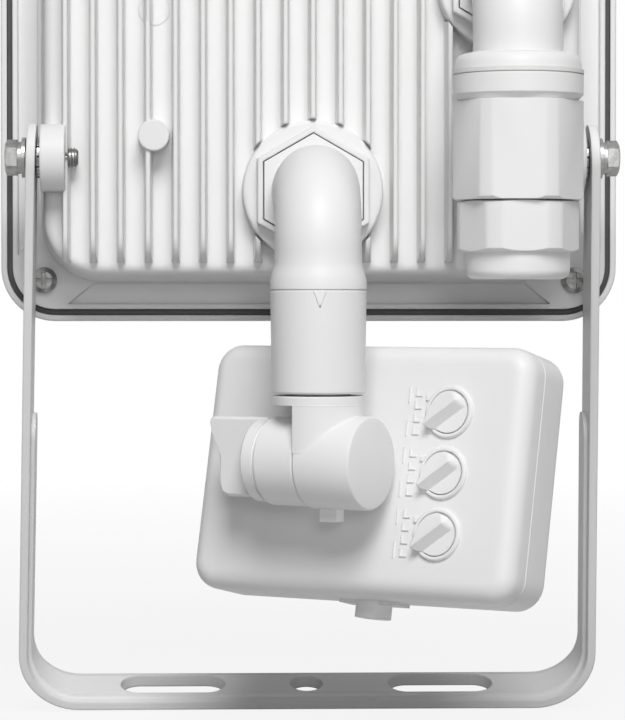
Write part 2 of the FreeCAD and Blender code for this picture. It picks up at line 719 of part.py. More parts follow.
def slot(sketch, left, right, radius):
    """A slot with round ends on the sketch's first axis."""
    a, b, r = number(left), number(right), number(radius)
    first = sketch.GeometryCount
    pieces = [
        arc(a, 0, r, 90, 270),
        line(a, -r, b, -r),
        arc(b, 0, r, -90, 90),
        line(b, r, a, r),
    ]
    for piece in pieces:
        sketch.addGeometry(piece, False)
    for i in range(4):
        after = first + (i + 1) % 4
        sketch.addConstraint(Sketcher.Constraint("Tangent", first + i, 2, after, 1))
    sketch.addConstraint(Sketcher.Constraint("Horizontal", first + 1))
    tie(sketch, "DistanceX", first, 3, left)
    tie(sketch, "DistanceY", first, 3, "0")
    tie(sketch, "DistanceX", first + 2, 3, right)
    tie(sketch, "DistanceY", first + 2, 3, "0")
    rule = sketch.addConstraint(Sketcher.Constraint("Radius", first, r))
    sketch.setExpression("Constraints[%d]" % rule, cell(radius))


def pad(body, sketch, length, flip=False, both=False, draft=None):
    """Adds a sketch's outline along its normal, against it, or to both sides."""
    feature = body.newObject("PartDesign::Pad", sketch.Name + "Pad")
    feature.Profile = sketch
    feature.setExpression("Length", cell(length))
    feature.Reversed = flip
    feature.Midplane = both
    if draft is not None:
        feature.setExpression("TaperAngle", cell(draft))
    body.Tip = feature
    return feature


def pocket(body, sketch, length, flip=False, both=False, draft=None):
    """Removes a sketch's outline against its normal, along it, or to both sides."""
    feature = body.newObject("PartDesign::Pocket", sketch.Name + "Pocket")
    feature.Profile = sketch
    feature.setExpression("Length", cell(length))
    feature.Reversed = flip
    feature.Midplane = both
    if draft is not None:
        feature.setExpression("TaperAngle", cell(draft))
    body.Tip = feature
    return feature


def round_edges(body, radius, wanted, name):
    """Rounds the edges that a rule picks from the body's shape so far."""
    doc.recompute()
    before = body.Tip
    names = []
    for i, edge in enumerate(before.Shape.Edges):
        if wanted(edge):
            names.append("Edge%d" % (i + 1))
    if not names:
        raise ValueError("no edge for " + name)
    feature = body.newObject("PartDesign::Fillet", name)
    feature.Base = (before, names)
    feature.setExpression("Radius", cell(radius))
    body.Tip = feature
    return feature


def ends(edge):
    """The two end points of an edge."""
    return edge.Vertexes[0].Point, edge.Vertexes[-1].Point


def near(value, wanted):
    """True where two lengths agree."""
    return abs(value - wanted) < SAME_LENGTH


def lies_at(edge, axis, wanted):
    """True where every point of an edge has one coordinate."""
    box = edge.BoundBox
    low = getattr(box, axis + "Min")
    high = getattr(box, axis + "Max")
    return near(low, wanted) and near(high, wanted)


def runs_along(edge, axis):
    """True for a straight edge along one axis."""
    a, b = ends(edge)
    span = {"X": abs(a.x - b.x), "Y": abs(a.y - b.y), "Z": abs(a.z - b.z)}
    other = [span[name] for name in span if name != axis]
    return span[axis] > SAME_LENGTH and max(other) < STRAIGHT and len(edge.Vertexes) == 2


def turned(label, profile):
    """A body turned about its own Z axis, from corners given as radius and height."""
    body = new_body(label)
    sketch = new_sketch(body, "XZ_Plane", label + "_profile")
    polygon(sketch, profile)
    feature = body.newObject("PartDesign::Revolution", label + "_turned")
    feature.Profile = sketch
    feature.ReferenceAxis = (sketch, ["V_Axis"])
    feature.Angle = 360
    body.Tip = feature
    return body


def move(x, y, z, axis="0; 0; 1", angle="0"):
    """The expression of one step: a turn about an axis, then a shift."""
    shift = "create(<<vector>>; %s; %s; %s)" % (cell(x), cell(y), cell(z))
    turn = "create(<<rotation>>; create(<<vector>>; %s); %s)" % (axis, cell(angle))
    return "create(<<placement>>; %s; %s)" % (shift, turn)


def seat(item, *steps):
    """Places an object by a chain of steps, outermost first."""
    if steps:
        item.setExpression("Placement", " * ".join(steps))
    return item


def join(kind, label, parts):
    """One solid from several: Part::MultiFuse or Part::MultiCommon."""
    item = doc.addObject(kind, label)
    item.Label = label
    item.Shapes = parts
    return item


def cut(label, base, tool):
    """One solid less another."""
    item = doc.addObject("Part::Cut", label)
    item.Label = label
    item.Base = base
    item.Tool = tool
    return item


LAMP = move("0", "pivot_y", "pivot_z")
SWUNG = move("0", "pivot_y", "pivot_z", "1; 0; 0", "bracket_swing")
SAME_LENGTH = 0.01
STRAIGHT = 0.001
nodes = []


def keep(item):
    """Takes a finished sub-part into the list that is written out."""
    nodes.append(item)
    return item


# Bracket
strip = new_body("bracket_strip")
outline = new_sketch(strip, "XZ_Plane", "strip_outline")
polygon(outline, [
    ("leg_outer", "strip_half"),
    ("base_half", "base_under"),
    ("-base_half", "base_under"),
    ("-leg_outer", "strip_half"),
    ("-leg_inner", "strip_half"),
    ("-base_inner", "base_top"),
    ("base_inner", "base_top"),
    ("leg_inner", "strip_half"),
])
pad(strip, outline, "strip_wide", both=True)
round_edges(strip, "bend_outer", lambda e: runs_along(e, "Y") and lies_at(e, "Z", number("base_under")),
            "strip_outer_bends")
round_edges(strip, "bend_inner", lambda e: runs_along(e, "Y") and lies_at(e, "Z", number("base_top")),
            "strip_inner_bends")
round_edges(strip, "leg_round", lambda e: runs_along(e, "X") and lies_at(e, "Z", number("strip_half")),
            "strip_leg_tops")
pivot_holes = new_sketch(strip, "YZ_Plane", "strip_pivots")
circle(pivot_holes, "0", "0", "pivot_hole")
pocket(strip, pivot_holes, "strip_span", both=True)

bead = new_body("bracket_bead")
outline = new_sketch(bead, "XZ_Plane", "bead_outline")
polygon(outline, [
    ("bead_leg_root", "bead_start"),
    ("bead_base_root", "bead_base_low"),
    ("-bead_base_root", "bead_base_low"),
    ("-bead_leg_root", "bead_start"),
    ("-bead_leg_inner", "bead_start"),
    ("-bead_base_inner", "bead_base_top"),
    ("bead_base_inner", "bead_base_top"),
    ("bead_leg_inner", "bead_start"),
])
pad(bead, outline, "bead_wide", both=True)
round_edges(bead, "bead_root_bend", lambda e: runs_along(e, "Y") and lies_at(e, "Z", number("bead_base_low")),
            "bead_outer_bends")
round_edges(bead, "bead_bend", lambda e: runs_along(e, "Y") and lies_at(e, "Z", number("bead_base_top")),
            "bead_inner_bends")
round_edges(bead, "bead_end_round", lambda e: runs_along(e, "X") and lies_at(e, "Z", number("bead_start")),
            "bead_ends")

holes = new_body("bracket_holes")
outline = new_sketch(holes, "XY_Plane", "hole_outline", "hole_tool_low")
slot(outline, "slot_near", "slot_far", "slot_radius")
slot(outline, "-slot_far", "-slot_near", "slot_radius")
circle(outline, "0", "0", "middle_hole_radius")
pad(holes, outline, "hole_tool")
bracket = cut("bracket", join("Part::MultiFuse", "bracket_blank", [strip, bead]), holes)
keep(seat(bracket, SWUNG))


# Rear housing
housing = new_body("rear_housing")
outline = new_sketch(housing, "XZ_Plane", "flange_outline", "-flange_back")
rounded(outline, "-flange_half", "flange_half", "flange_low", "flange_high", "flange_corner")
pad(housing, outline, "flange_thick", flip=True)
outline = new_sketch(housing, "XZ_Plane", "foot_outline", "-flange_back")
rounded(outline, "-body_half", "body_half", "body_low", "body_high", "body_corner")
pad(housing, outline, "body_deep", draft="body_draft")
round_edges(housing, "body_edge", lambda e: lies_at(e, "Y", number("plateau")), "plateau_edges")

fin = new_sketch(housing, "XY_Plane", "fin_outline", "fin_low")
polygon(fin, [
    ("fin_first_tip_left", "fin_crest"),
    ("fin_first_tip", "fin_crest"),
    ("fin_first_root", "fin_root"),
    ("fin_first_root_left", "fin_root"),
])
fin_pad = pad(housing, fin, "fin_long")


def nose(name, centre, outer, start, end):
    """Takes the corner off one end of the first fin, leaving a quarter round."""
    sketch = new_sketch(housing, "YZ_Plane", name, "fin_first")
    y, z, r = number("nose_front"), number(centre), number("nose_radius")
    far, back = number(outer), number("nose_back")
    side = 1 if far > z else -1
    sketch.addGeometry(arc(y, z, r, start, end), False)
    tip, root = (1, 2) if side > 0 else (2, 1)
    points = [(y, z + side * r), (y, far), (back, far), (back, z), (y - r, z)]
    for i in range(4):
        sketch.addGeometry(line(*points[i], *points[i + 1]), False)
    sketch.addConstraint(Sketcher.Constraint("Coincident", 0, tip, 1, 1))
    for i in (1, 2, 3):
        sketch.addConstraint(Sketcher.Constraint("Coincident", i, 2, i + 1, 1))
    sketch.addConstraint(Sketcher.Constraint("Coincident", 4, 2, 0, root))
    sketch.addConstraint(Sketcher.Constraint("Vertical", 1))
    sketch.addConstraint(Sketcher.Constraint("Horizontal", 2))
    sketch.addConstraint(Sketcher.Constraint("Vertical", 3))
    sketch.addConstraint(Sketcher.Constraint("Horizontal", 4))
    tie(sketch, "DistanceX", 0, 3, "nose_front")
    tie(sketch, "DistanceY", 0, 3, centre)
    rule = sketch.addConstraint(Sketcher.Constraint("Radius", 0, r))
    sketch.setExpression("Constraints[%d]" % rule, "Sizes.nose_radius")
    sketch.addConstraint(Sketcher.Constraint("Vertical", 0, 3, 0, tip))
    sketch.addConstraint(Sketcher.Constraint("Horizontal", 0, 3, 0, root))
    tie(sketch, "DistanceY", 1, 2, outer)
    tie(sketch, "DistanceX", 2, 2, "nose_back")
    return pocket(housing, sketch, "nose_wide", both=True)


nose_top = nose("nose_top", "nose_top_centre", "nose_top_out", 90, 180)
nose_low = nose("nose_low", "nose_low_centre", "nose_low_out", 180, 270)
fins = housing.newObject("PartDesign::LinearPattern", "fins")
fins.Originals = [fin_pad, nose_top, nose_low]
fins.Direction = (fin, ["H_Axis"])
fins.setExpression("Length", "Sizes.fin_run")
fins.setExpression("Occurrences", "Sizes.fin_count")
housing.Tip = fins
doc.recompute()

outline = new_sketch(housing, "XZ_Plane", "pin_bosses", "-plateau")
for x in ("-pin_boss_side", "pin_boss_side"):
    for z in ("pin_boss_height", "pin_boss_top"):
        circle(outline, x, z, "pin_boss_radius")
pad(housing, outline, "pin_boss_high")

for side, level in (("right", "ear_inner"), ("left", "-ear_outer")):
    outline = new_sketch(housing, "YZ_Plane", "ear_" + side, level)
    slot(outline, "0", "ear_root", "ear_radius")
    pad(housing, outline, "ear_thick")
for side, level in (("right", "ear_outer"), ("left", "-ear_outer")):
    outline = new_sketch(housing, "YZ_Plane", "ear_tap_" + side, level)
    circle(outline, "0", "0", "tap_hole")
    pocket(housing, outline, "tap_deep", flip=(side == "left"))

outline = new_sketch(housing, "XZ_Plane", "socket_clearings", "-plateau")
circle(outline, "arm_x", "arm_z", "socket_clear_radius")
circle(outline, "inlet_x", "inlet_z", "socket_clear_radius")
pocket(housing, outline, "socket_clear", flip=True)
outline = new_sketch(housing, "XZ_Plane", "socket_discs", "-socket_disc_back")
circle(outline, "arm_x", "arm_z", "socket_disc_radius")
circle(outline, "inlet_x", "inlet_z", "socket_disc_radius")
pad(housing, outline, "socket_disc_high", flip=True)
round_edges(housing, "disc_edge", lambda e: lies_at(e, "Y", number("socket_disc_back"))
            and isinstance(e.Curve, Part.Circle)
            and near(e.Curve.Radius, number("socket_disc_radius")), "disc_edges")


def six_sided(kind, name, x, z, level, corner, height):
    """A six-sided prism on the housing's back, with two corners upright."""
    item = housing.newObject("PartDesign::" + kind + "Prism", name)
    item.AttachmentSupport = (plane(housing, "XZ_Plane"), [""])
    item.MapMode = "FlatFace"
    turn = FreeCAD.Rotation(FreeCAD.Vector(0, 0, 1), number("hex_turn"))
    item.AttachmentOffset = FreeCAD.Placement(FreeCAD.Vector(0, 0, 0), turn)
    item.setExpression("AttachmentOffset.Base.x", cell(x))
    item.setExpression("AttachmentOffset.Base.y", cell(z))
    item.setExpression("AttachmentOffset.Base.z", cell(level))
    item.Polygon = 6
    item.setExpression("Circumradius", cell(corner))
    item.setExpression("Height", cell(height))
    housing.Tip = item


for name, x, z in (("arm", "arm_x", "arm_z"), ("inlet", "inlet_x", "inlet_z")):
    six_sided("Additive", name + "_rim", x, z, "-socket_disc_back", "socket_rim_corner", "socket_rim_high")
for name, x, z in (("arm", "arm_x", "arm_z"), ("inlet", "inlet_x", "inlet_z")):
    six_sided("Subtractive", name + "_socket", x, z, "-socket_floor", "socket_corner", "socket_deep")

outline = new_sketch(housing, "XZ_Plane", "trays", "-flange_back")
polygon(outline, [
    ("-tray_cut_x_out", "tray_low_out"), ("tray_cut_x_out", "tray_low_out"),
    ("tray_cut_x", "tray_low_in"), ("-tray_cut_x", "tray_low_in"),
])
polygon(outline, [
    ("-tray_cut_x_out", "tray_high_out"), ("-tray_cut_x", "tray_high_in"),
    ("tray_cut_x", "tray_high_in"), ("tray_cut_x_out", "tray_high_out"),
])
polygon(outline, [
    ("tray_side_out", "tray_cut_low_out"), ("tray_side_out", "tray_cut_high_out"),
    ("tray_side_in", "tray_cut_high"), ("tray_side_in", "tray_cut_low"),
])
polygon(outline, [
    ("-tray_side_out", "tray_cut_low_out"), ("-tray_side_in", "tray_cut_low"),
    ("-tray_side_in", "tray_cut_high"), ("-tray_side_out", "tray_cut_high_out"),
])
pocket(housing, outline, "tray_deep")

outline = new_sketch(housing, "XZ_Plane", "cavity", "-flange_front")
rounded(outline, "-cavity_half", "cavity_half", "cavity_low", "cavity_high", "cavity_corner")
pocket(housing, outline, "cavity_deep", flip=True)
outline = new_sketch(housing, "XZ_Plane", "board_posts", "-cavity_floor")
for x in ("-post_x", "post_x"):
    for z in ("post_low", "post_high"):
        circle(outline, x, z, "post_radius")
pad(housing, outline, "standoff", flip=True)
outline = new_sketch(housing, "XZ_Plane", "wire_holes", "-socket_rim_back")
circle(outline, "arm_x", "arm_z", "wire_hole_radius")
circle(outline, "inlet_x", "inlet_z", "wire_hole_radius")
pocket(housing, outline, "wire_hole_deep")
outline = new_sketch(housing, "XZ_Plane", "screw_holes", "-flange_back")
for x in ("-screw_side", "screw_side"):
    for z in ("screw_low", "screw_high"):
        circle(outline, x, z, "screw_hole")
pocket(housing, outline, "screw_hole_deep")
keep(seat(housing, LAMP))


# Front frame
frame = new_body("front_frame")
outline = new_sketch(frame, "XZ_Plane", "frame_outline", "-frame_back")
rounded(outline, "-rim_half", "rim_half", "rim_low", "rim_high", "rim_corner")
pad(frame, outline, "frame_deep", flip=True)
round_edges(frame, "frame_front_round", lambda e: lies_at(e, "Y", number("frame_front")), "frame_front_edges")
round_edges(frame, "frame_back_round", lambda e: lies_at(e, "Y", number("frame_back")), "frame_back_edges")
outline = new_sketch(frame, "XZ_Plane", "frame_well", "-frame_back")
rounded(outline, "-frame_inner_half", "frame_inner_half", "frame_inner_low", "frame_inner_high",
        "frame_inner_corner")
pocket(frame, outline, "frame_step_deep")
outline = new_sketch(frame, "XZ_Plane", "frame_glass_seat", "-frame_back")
rounded(outline, "-pocket_half", "pocket_half", "pocket_low", "pocket_high", "glass_corner")
pocket(frame, outline, "pocket_deep")
outline = new_sketch(frame, "XZ_Plane", "frame_window", "-frame_back")
rounded(outline, "-window_half", "window_half", "window_low", "window_high", "window_corner")
pocket(frame, outline, "frame_through")
outline = new_sketch(frame, "XZ_Plane", "frame_screw_holes", "-frame_back")
for x in ("-screw_side", "screw_side"):
    for z in ("screw_low", "screw_high"):
        circle(outline, x, z, "screw_hole")
pocket(frame, outline, "frame_hole_deep")
keep(seat(frame, LAMP))


def slab(label, left, right, low, high, corner, back, thick):
    """A flat plate with round corners, upright behind the window."""
    body = new_body(label)
    sketch = new_sketch(body, "XZ_Plane", label + "_outline", "-" + back)
    rounded(sketch, left, right, low, high, corner)
    pad(body, sketch, thick, flip=True)
    return body


glass = slab("front_glass", "-glass_half", "glass_half", "glass_low", "glass_high", "glass_corner",
             "glass_back", "glass_thick")
keep(seat(glass, LAMP))
seal = slab("glass_seal", "-glass_half", "glass_half", "glass_low", "glass_high", "glass_corner",
            "flange_front", "seal_thick")
outline = new_sketch(seal, "XZ_Plane", "seal_opening", "-flange_front")
rounded(outline, "-seal_inner_half", "seal_inner_half", "seal_inner_low", "seal_inner_high", "window_corner")
pocket(seal, outline, "seal_thick")
keep(seat(seal, LAMP))
board = slab("led_board", "-board_half", "board_half", "board_low", "board_high", "board_corner",
             "board_back", "board_thick")
keep(seat(board, LAMP))

chips = new_body("led_chips")
column = new_sketch(chips, "XZ_Plane", "chip_column", "-board_front")
for i in range(6):
    polygon(column, [
        ("chip_left", "chip_low_%d" % i), ("chip_right", "chip_low_%d" % i),
        ("chip_right", "chip_high_%d" % i), ("chip_left", "chip_high_%d" % i),
    ])
chip_pad = pad(chips, column, "chip_high", flip=True)
rows = chips.newObject("PartDesign::LinearPattern", "chip_columns_pattern")
rows.Originals = [chip_pad]
rows.Direction = (column, ["H_Axis"])
rows.setExpression("Length", "Sizes.chip_run")
rows.setExpression("Occurrences", "Sizes.chip_columns")
chips.Tip = rows
keep(seat(chips, LAMP))

reflector = new_body("reflector")
outline = new_sketch(reflector, "XZ_Plane", "reflector_outline", "-reflector_lip")
rounded(outline, "-reflector_half", "reflector_half", "reflector_low", "reflector_high", "reflector_corner")
pad(reflector, outline, "reflector_deep", draft="reflector_slope")
outline = new_sketch(reflector, "XZ_Plane", "reflector_opening", "-reflector_lip")
rounded(outline, "-reflector_inner_half", "reflector_inner_half", "reflector_inner_low",
        "reflector_inner_high", "reflector_inner_corner")
pocket(reflector, outline, "reflector_deep", flip=True, draft="reflector_slope")
keep(seat(reflector, LAMP))


def block(label, left, right, low, high, back, thick, corner="block_corner"):
    """A small rounded block."""
    body = slab(label, left, right, low, high, corner, back, thick)
    keep(seat(body, LAMP))


block("driver", "driver_left", "driver_right", "driver_low", "driver_high", "cavity_floor", "driver_high_y")
block("wire_terminals", "terminal_left", "terminal_right", "terminal_low", "terminal_high",
      "cavity_floor", "terminal_high_y")


def lathe(label, profile, *steps):
    """A finished turned piece."""
    return keep(seat(turned(label, profile), *steps))


# Corner screws, turned about their own axis, head towards the back
for side, x in (("right", "screw_side"), ("left", "-screw_side")):
    for level, z in (("low", "screw_low"), ("high", "screw_high")):
        label = "corner_screw_%s_%s" % (level, side)
        screw = turned(label, [
            ("0", "0"), ("screw_dome_top_radius", "0"), ("screw_head_radius", "-screw_dome"),
            ("screw_head_radius", "-screw_head_high"), ("screw_radius", "-screw_head_high"),
            ("screw_radius", "-screw_end"), ("0", "-screw_end"),
        ])
        cross = new_sketch(screw, "XY_Plane", label + "_cross")
        polygon(cross, [
            ("-screw_cross", "-screw_cross_half"), ("-screw_cross_half", "-screw_cross_half"),
            ("-screw_cross_half", "-screw_cross"), ("screw_cross_half", "-screw_cross"),
            ("screw_cross_half", "-screw_cross_half"), ("screw_cross", "-screw_cross_half"),
            ("screw_cross", "screw_cross_half"), ("screw_cross_half", "screw_cross_half"),
            ("screw_cross_half", "screw_cross"), ("-screw_cross_half", "screw_cross"),
            ("-screw_cross_half", "screw_cross_half"), ("-screw_cross", "screw_cross_half"),
        ])
        pocket(screw, cross, "screw_cross_deep")
        keep(seat(screw, LAMP, move(x, "screw_back", z, "1; 0; 0", "90")))


# Pivot hardware, one set for each side
for side, half_turn in (("right", "0"), ("left", "180")):
    across = (LAMP, move("0", "0", "0", "0; 0; 1", half_turn), move("0", "0", "0", "0; 1; 0", "90"))
    head = doc.addObject("Part::Prism", "bolt_head_blank_" + side)
    head.Polygon = 6
    head.setExpression("Circumradius", "Sizes.head_corner")
    head.setExpression("Height", "Sizes.head_thick")
    head.setExpression("Placement.Base.z", "Sizes.head_inner")
    shape = turned("bolt_head_turning_" + side, [
        ("0", "head_inner"), ("head_corner", "head_inner"), ("head_corner", "head_bevel_outer"),
        ("bolt_head_flat", "bolt_head_outer"), ("0", "bolt_head_outer"),
    ])
    bevelled = join("Part::MultiCommon", "bolt_head_" + side, [head, shape])
    shank = turned("bolt_shank_" + side, [
        ("0", "bolt_end"), ("bolt_tip_radius", "bolt_end"), ("bolt_radius", "bolt_tip_start"),
        ("bolt_radius", "head_bevel_outer"), ("0", "head_bevel_outer"),
    ])
    keep(seat(join("Part::MultiFuse", "pivot_bolt_" + side, [bevelled, shank]), *across))
    lathe("flat_washer_" + side, [
        ("washer_hole", "washer_inner"), ("washer_radius", "washer_inner"),
        ("washer_radius", "washer_outer"), ("washer_hole", "washer_outer"),
    ], *across)
    spring = turned("spring_washer_" + side, [
        ("washer_hole", "spring_washer_inner"), ("spring_washer_radius", "spring_washer_inner"),
        ("spring_washer_radius", "spring_washer_outer"), ("washer_hole", "spring_washer_outer"),
    ])
    split = new_sketch(spring, "XY_Plane", "split_" + side, "spring_washer_inner")
    polygon(split, [
        ("0", "-split_half"), ("split_far", "-split_half"), ("split_far", "split_half"), ("0", "split_half"),
    ])
    pocket(spring, split, "split_deep", both=True)
    keep(seat(spring, *across))
    toothed = turned("tooth_washer_" + side, [
        ("washer_hole", "ear_outer"), ("tooth_washer_radius", "ear_outer"),
        ("tooth_washer_radius", "tooth_washer_outer"), ("washer_hole", "tooth_washer_outer"),
    ])
    notch = new_sketch(toothed, "XY_Plane", "notch_" + side, "ear_outer")
    polygon(notch, [("tooth_root", "0"), ("tooth_out", "-tooth_half"), ("tooth_out", "tooth_half")])
    first_notch = pocket(toothed, notch, "split_deep", both=True)
    ring = toothed.newObject("PartDesign::PolarPattern", "teeth_" + side)
    ring.Originals = [first_notch]
    ring.Axis = (notch, ["N_Axis"])
    ring.Angle = 360
    ring.setExpression("Occurrences", "Sizes.tooth_count")
    toothed.Tip = ring
    keep(seat(toothed, *across))


def cylinder(label, radius, height, *steps):
    """A plain cylinder along its own Z axis."""
    item = doc.addObject("Part::Cylinder", label)
    item.setExpression("Radius", cell(radius))
    item.setExpression("Height", cell(height))
    return seat(item, *steps)


def bend(label, radius, x, y, z):
    """A quarter bend from a tube along Y to an upright one, round a centre."""
    item = doc.addObject("Part::Torus", label)
    item.setExpression("Radius1", "Sizes.bend_radius")
    item.setExpression("Radius2", cell(radius))
    item.Angle3 = 90
    return seat(item, move(x, y, z, "0; 1; 0", "-90"), move("0", "0", "0", "1; 0; 0", "180"))


def elbow(name, label, x, y, z, radius, bore, spigot):
    """A six-sided plug, a bent tube and a turned lower end, with a way for the wires."""
    plug = doc.addObject("Part::Prism", name + "_plug")
    plug.Polygon = 6
    plug.setExpression("Circumradius", "Sizes.plug_corner")
    plug.setExpression("Height", "Sizes.plug_deep")
    seat(plug, move(x, "plug_back", z, "1; 0; 0", "-90"), move("0", "0", "0", "0; 0; 1", "hex_turn"))
    low_end = seat(turned(name + "_end", spigot), move(x, y, "0"))
    along = move(x, name + "_bend_y", z, "1; 0; 0", "-90")
    outer = join("Part::MultiFuse", name + "_solid", [
        plug,
        cylinder(name + "_stub_tube", radius, name + "_stub", along),
        bend(name + "_bend", radius, x, name + "_bend_y", name + "_bend_z"),
        cylinder(name + "_drop_tube", radius, name + "_drop", move(x, y, name + "_drop_low")),
        low_end,
    ])
    way = join("Part::MultiFuse", name + "_wire_way", [
        cylinder(name + "_stub_bore", bore, "stub_bore_long_" + name, along),
        bend(name + "_bend_bore", bore, x, name + "_bend_y", name + "_bend_z"),
        cylinder(name + "_drop_bore", bore, name + "_way_long", move(x, y, name + "_way")),
    ])
    return keep(seat(cut(label, outer, way), LAMP))


elbow("inlet", "inlet_elbow", "inlet_x", "inlet_y", "inlet_z", "inlet_tube", "inlet_bore", [
    ("0", "cap_top"), ("cap_top_radius", "cap_top"), ("cap_mid_radius", "cap_top_mid"),
    ("cap_radius", "cap_shoulder"), ("cap_edge_radius", "cap_low"), ("thread_radius", "cap_low"),
    ("thread_radius", "thread_low"), ("0", "thread_low"),
])
elbow("arm", "arm_elbow", "arm_x", "arm_y", "arm_z", "arm_tube", "arm_bore", [
    ("0", "arm_flare_top"), ("arm_tube", "arm_flare_top"), ("arm_flare", "arm_flare_low"),
    ("arm_flare", "arm_low"), ("arm_spigot", "arm_low"), ("arm_spigot", "arm_spigot_low"),
    ("0", "arm_spigot_low"),
])


# Cable gland below the inlet elbow
GLAND = (LAMP, move("inlet_x", "inlet_y", "0"))
lathe("gland_o_ring", [
    ("band_inner", "band_low"), ("band_radius", "band_low"), ("band_radius", "band_top"),
    ("band_inner", "band_top"),
], *GLAND)


def hexagon(label, corner, height, level, turn):
    """An upright six-sided prism."""
    item = doc.addObject("Part::Prism", label)
    item.Polygon = 6
    item.setExpression("Circumradius", cell(corner))
    item.setExpression("Height", cell(height))
    return seat(item, move("0", "0", level, "0; 0; 1", turn))


flats = join("Part::MultiCommon", "collar_flats", [
    hexagon("collar_prism", "collar_corner", "collar_prism_high", "collar_low", "gland_turn"),
    turned("collar_turning", [
        ("0", "collar_low"), ("collar_bevel_radius", "collar_low"), ("collar_radius", "collar_bevel_low"),
        ("collar_radius", "collar_top"), ("0", "collar_top"),
    ]),
])
neck = turned("collar_neck_turning", [
    ("0", "nipple_low"), ("nipple_radius", "nipple_low"), ("nipple_radius", "collar_cone"),
    ("collar_cone_radius", "collar_cone"), ("collar_radius", "collar_neck"),
    ("collar_radius", "collar_round_top"), ("collar_top_radius", "collar_top"), ("0", "collar_top"),
])
bore = turned("collar_bore_turning", [
    ("0", "seal_bottom"), ("nut_bore", "seal_bottom"), ("nut_bore", "collar_step"),
    ("collar_bore", "collar_step"), ("collar_bore", "cap_low"), ("0", "cap_low"),
])
keep(seat(cut("coupling_collar", join("Part::MultiFuse", "collar_solid", [flats, neck]), bore), *GLAND))

nut_flats = join("Part::MultiCommon", "nut_flats", [
    hexagon("nut_prism", "nut_corner", "nut_deep", "nut_low", "nut_turn"),
    turned("nut_turning", [
        ("0", "nut_low"), ("nut_bevel_radius", "nut_low"), ("nut_radius", "nut_bevel_low"),
        ("nut_radius", "nut_bevel_top"), ("nut_bevel_radius", "nut_top"), ("0", "nut_top"),
    ]),
])
nut_sleeve = turned("nut_sleeve", [
    ("0", "sleeve_low"), ("sleeve_radius", "sleeve_low"), ("sleeve_radius", "nut_shoulder"),
    ("0", "nut_shoulder"),
])
round_edges(nut_sleeve, "sleeve_round", lambda e: lies_at(e, "Z", number("sleeve_low")), "sleeve_end")
nut_bore = turned("nut_bore_turning", [
    ("0", "nut_bottom"), ("cord_hole", "nut_bottom"), ("cord_hole", "nut_step"), ("nut_bore", "nut_step"),
    ("nut_bore", "nut_shoulder"), ("nut_thread", "nut_shoulder"), ("nut_thread", "collar_low"),
    ("0", "collar_low"),
])
keep(seat(cut("gland_nut", join("Part::MultiFuse", "nut_solid", [nut_flats, nut_sleeve]), nut_bore), *GLAND))
lathe("gland_seal", [
    ("seal_hole", "seal_low"), ("seal_radius", "seal_low"), ("seal_radius", "seal_top"),
    ("seal_hole", "seal_top"),
], *GLAND)


# Sensor arm's sleeve and the knuckle
lathe("arm_sleeve", [
    ("spigot_bore", "collar_sleeve_low"), ("collar_sleeve_low_radius", "collar_sleeve_low"),
    ("collar_sleeve_radius", "collar_sleeve_top"), ("spigot_bore", "collar_sleeve_top"),
], LAMP, move("arm_x", "arm_y", "0"))

KNUCKLE = (LAMP, move("arm_x", "arm_y", "knuckle_z", "0; 0; 1", "-head_yaw"))
column = turned("knuckle_column_turning", [
    ("0", "column_low"), ("knuckle_column", "column_low"), ("knuckle_column", "knuckle_rise"),
    ("spigot_radius", "knuckle_rise"), ("spigot_radius", "spigot_rise"), ("0", "spigot_rise"),
])


def box(label, x, y, z, long, wide, high):
    """A plain block from its lowest corner."""
    item = doc.addObject("Part::Box", label)
    item.setExpression("Length", cell(long))
    item.setExpression("Width", cell(wide))
    item.setExpression("Height", cell(high))
    return seat(item, move(x, y, z))


clip = box("knuckle_clip", "clip_left", "-clip_half", "clip_low", "clip_wide", "clip_wide", "clip_wide")
barrel = new_body("knuckle_barrel")
outline = new_sketch(barrel, "YZ_Plane", "barrel_outline", "knuckle_split")
circle(outline, "0", "0", "knuckle_radius")
pad(barrel, outline, "knuckle_long")
round_edges(barrel, "knuckle_round", lambda e: lies_at(e, "X", number("knuckle_end")), "barrel_edge")
knuckle_solid = join("Part::MultiFuse", "knuckle_solid", [
    cut("knuckle_column_cut", column, clip),
    barrel,
    box("knuckle_stop", "stop_left", "stop_back", "stop_low", "stop_wide", "stop_thick", "stop_high"),
])
knuckle_bores = join("Part::MultiFuse", "knuckle_bores", [
    cylinder("knuckle_clamp_bore", "clamp_hole", "clamp_bore_long",
             move("clamp_bore_left", "0", "0", "0; 1; 0", "90")),
    cylinder("knuckle_wire_bore", "knuckle_wire", "wire_bore_long", move("0", "0", "0")),
])
keep(seat(cut("knuckle_fork", knuckle_solid, knuckle_bores), *KNUCKLE))

wing = new_body("wing_knob")
outline = new_sketch(wing, "XZ_Plane", "wing_outline")
polygon(outline, [
    ("wing_collar_left", "-wing_half_high"), ("wing_collar_left", "wing_half_high"),
    ("wing_left", "wing_half_high"), ("wing_dish_start", "wing_dish_side"), ("wing_waist", "0"),
    ("wing_dish_start", "-wing_dish_side"), ("wing_left", "-wing_half_high"),
])
pad(wing, outline, "wing_thick", both=True)
round_edges(wing, "wing_corner", lambda e: runs_along(e, "Y") and lies_at(e, "X", number("wing_left")),
            "wing_corners")
outline = new_sketch(wing, "YZ_Plane", "wing_collar", "wing_collar_left")
circle(outline, "0", "0", "wing_collar_radius")
pad(wing, outline, "wing_collar_thick")
outline = new_sketch(wing, "YZ_Plane", "clamp_screw", "wing_collar_right")
circle(outline, "0", "0", "clamp_radius")
pad(wing, outline, "clamp_long")
keep(seat(wing, *KNUCKLE))


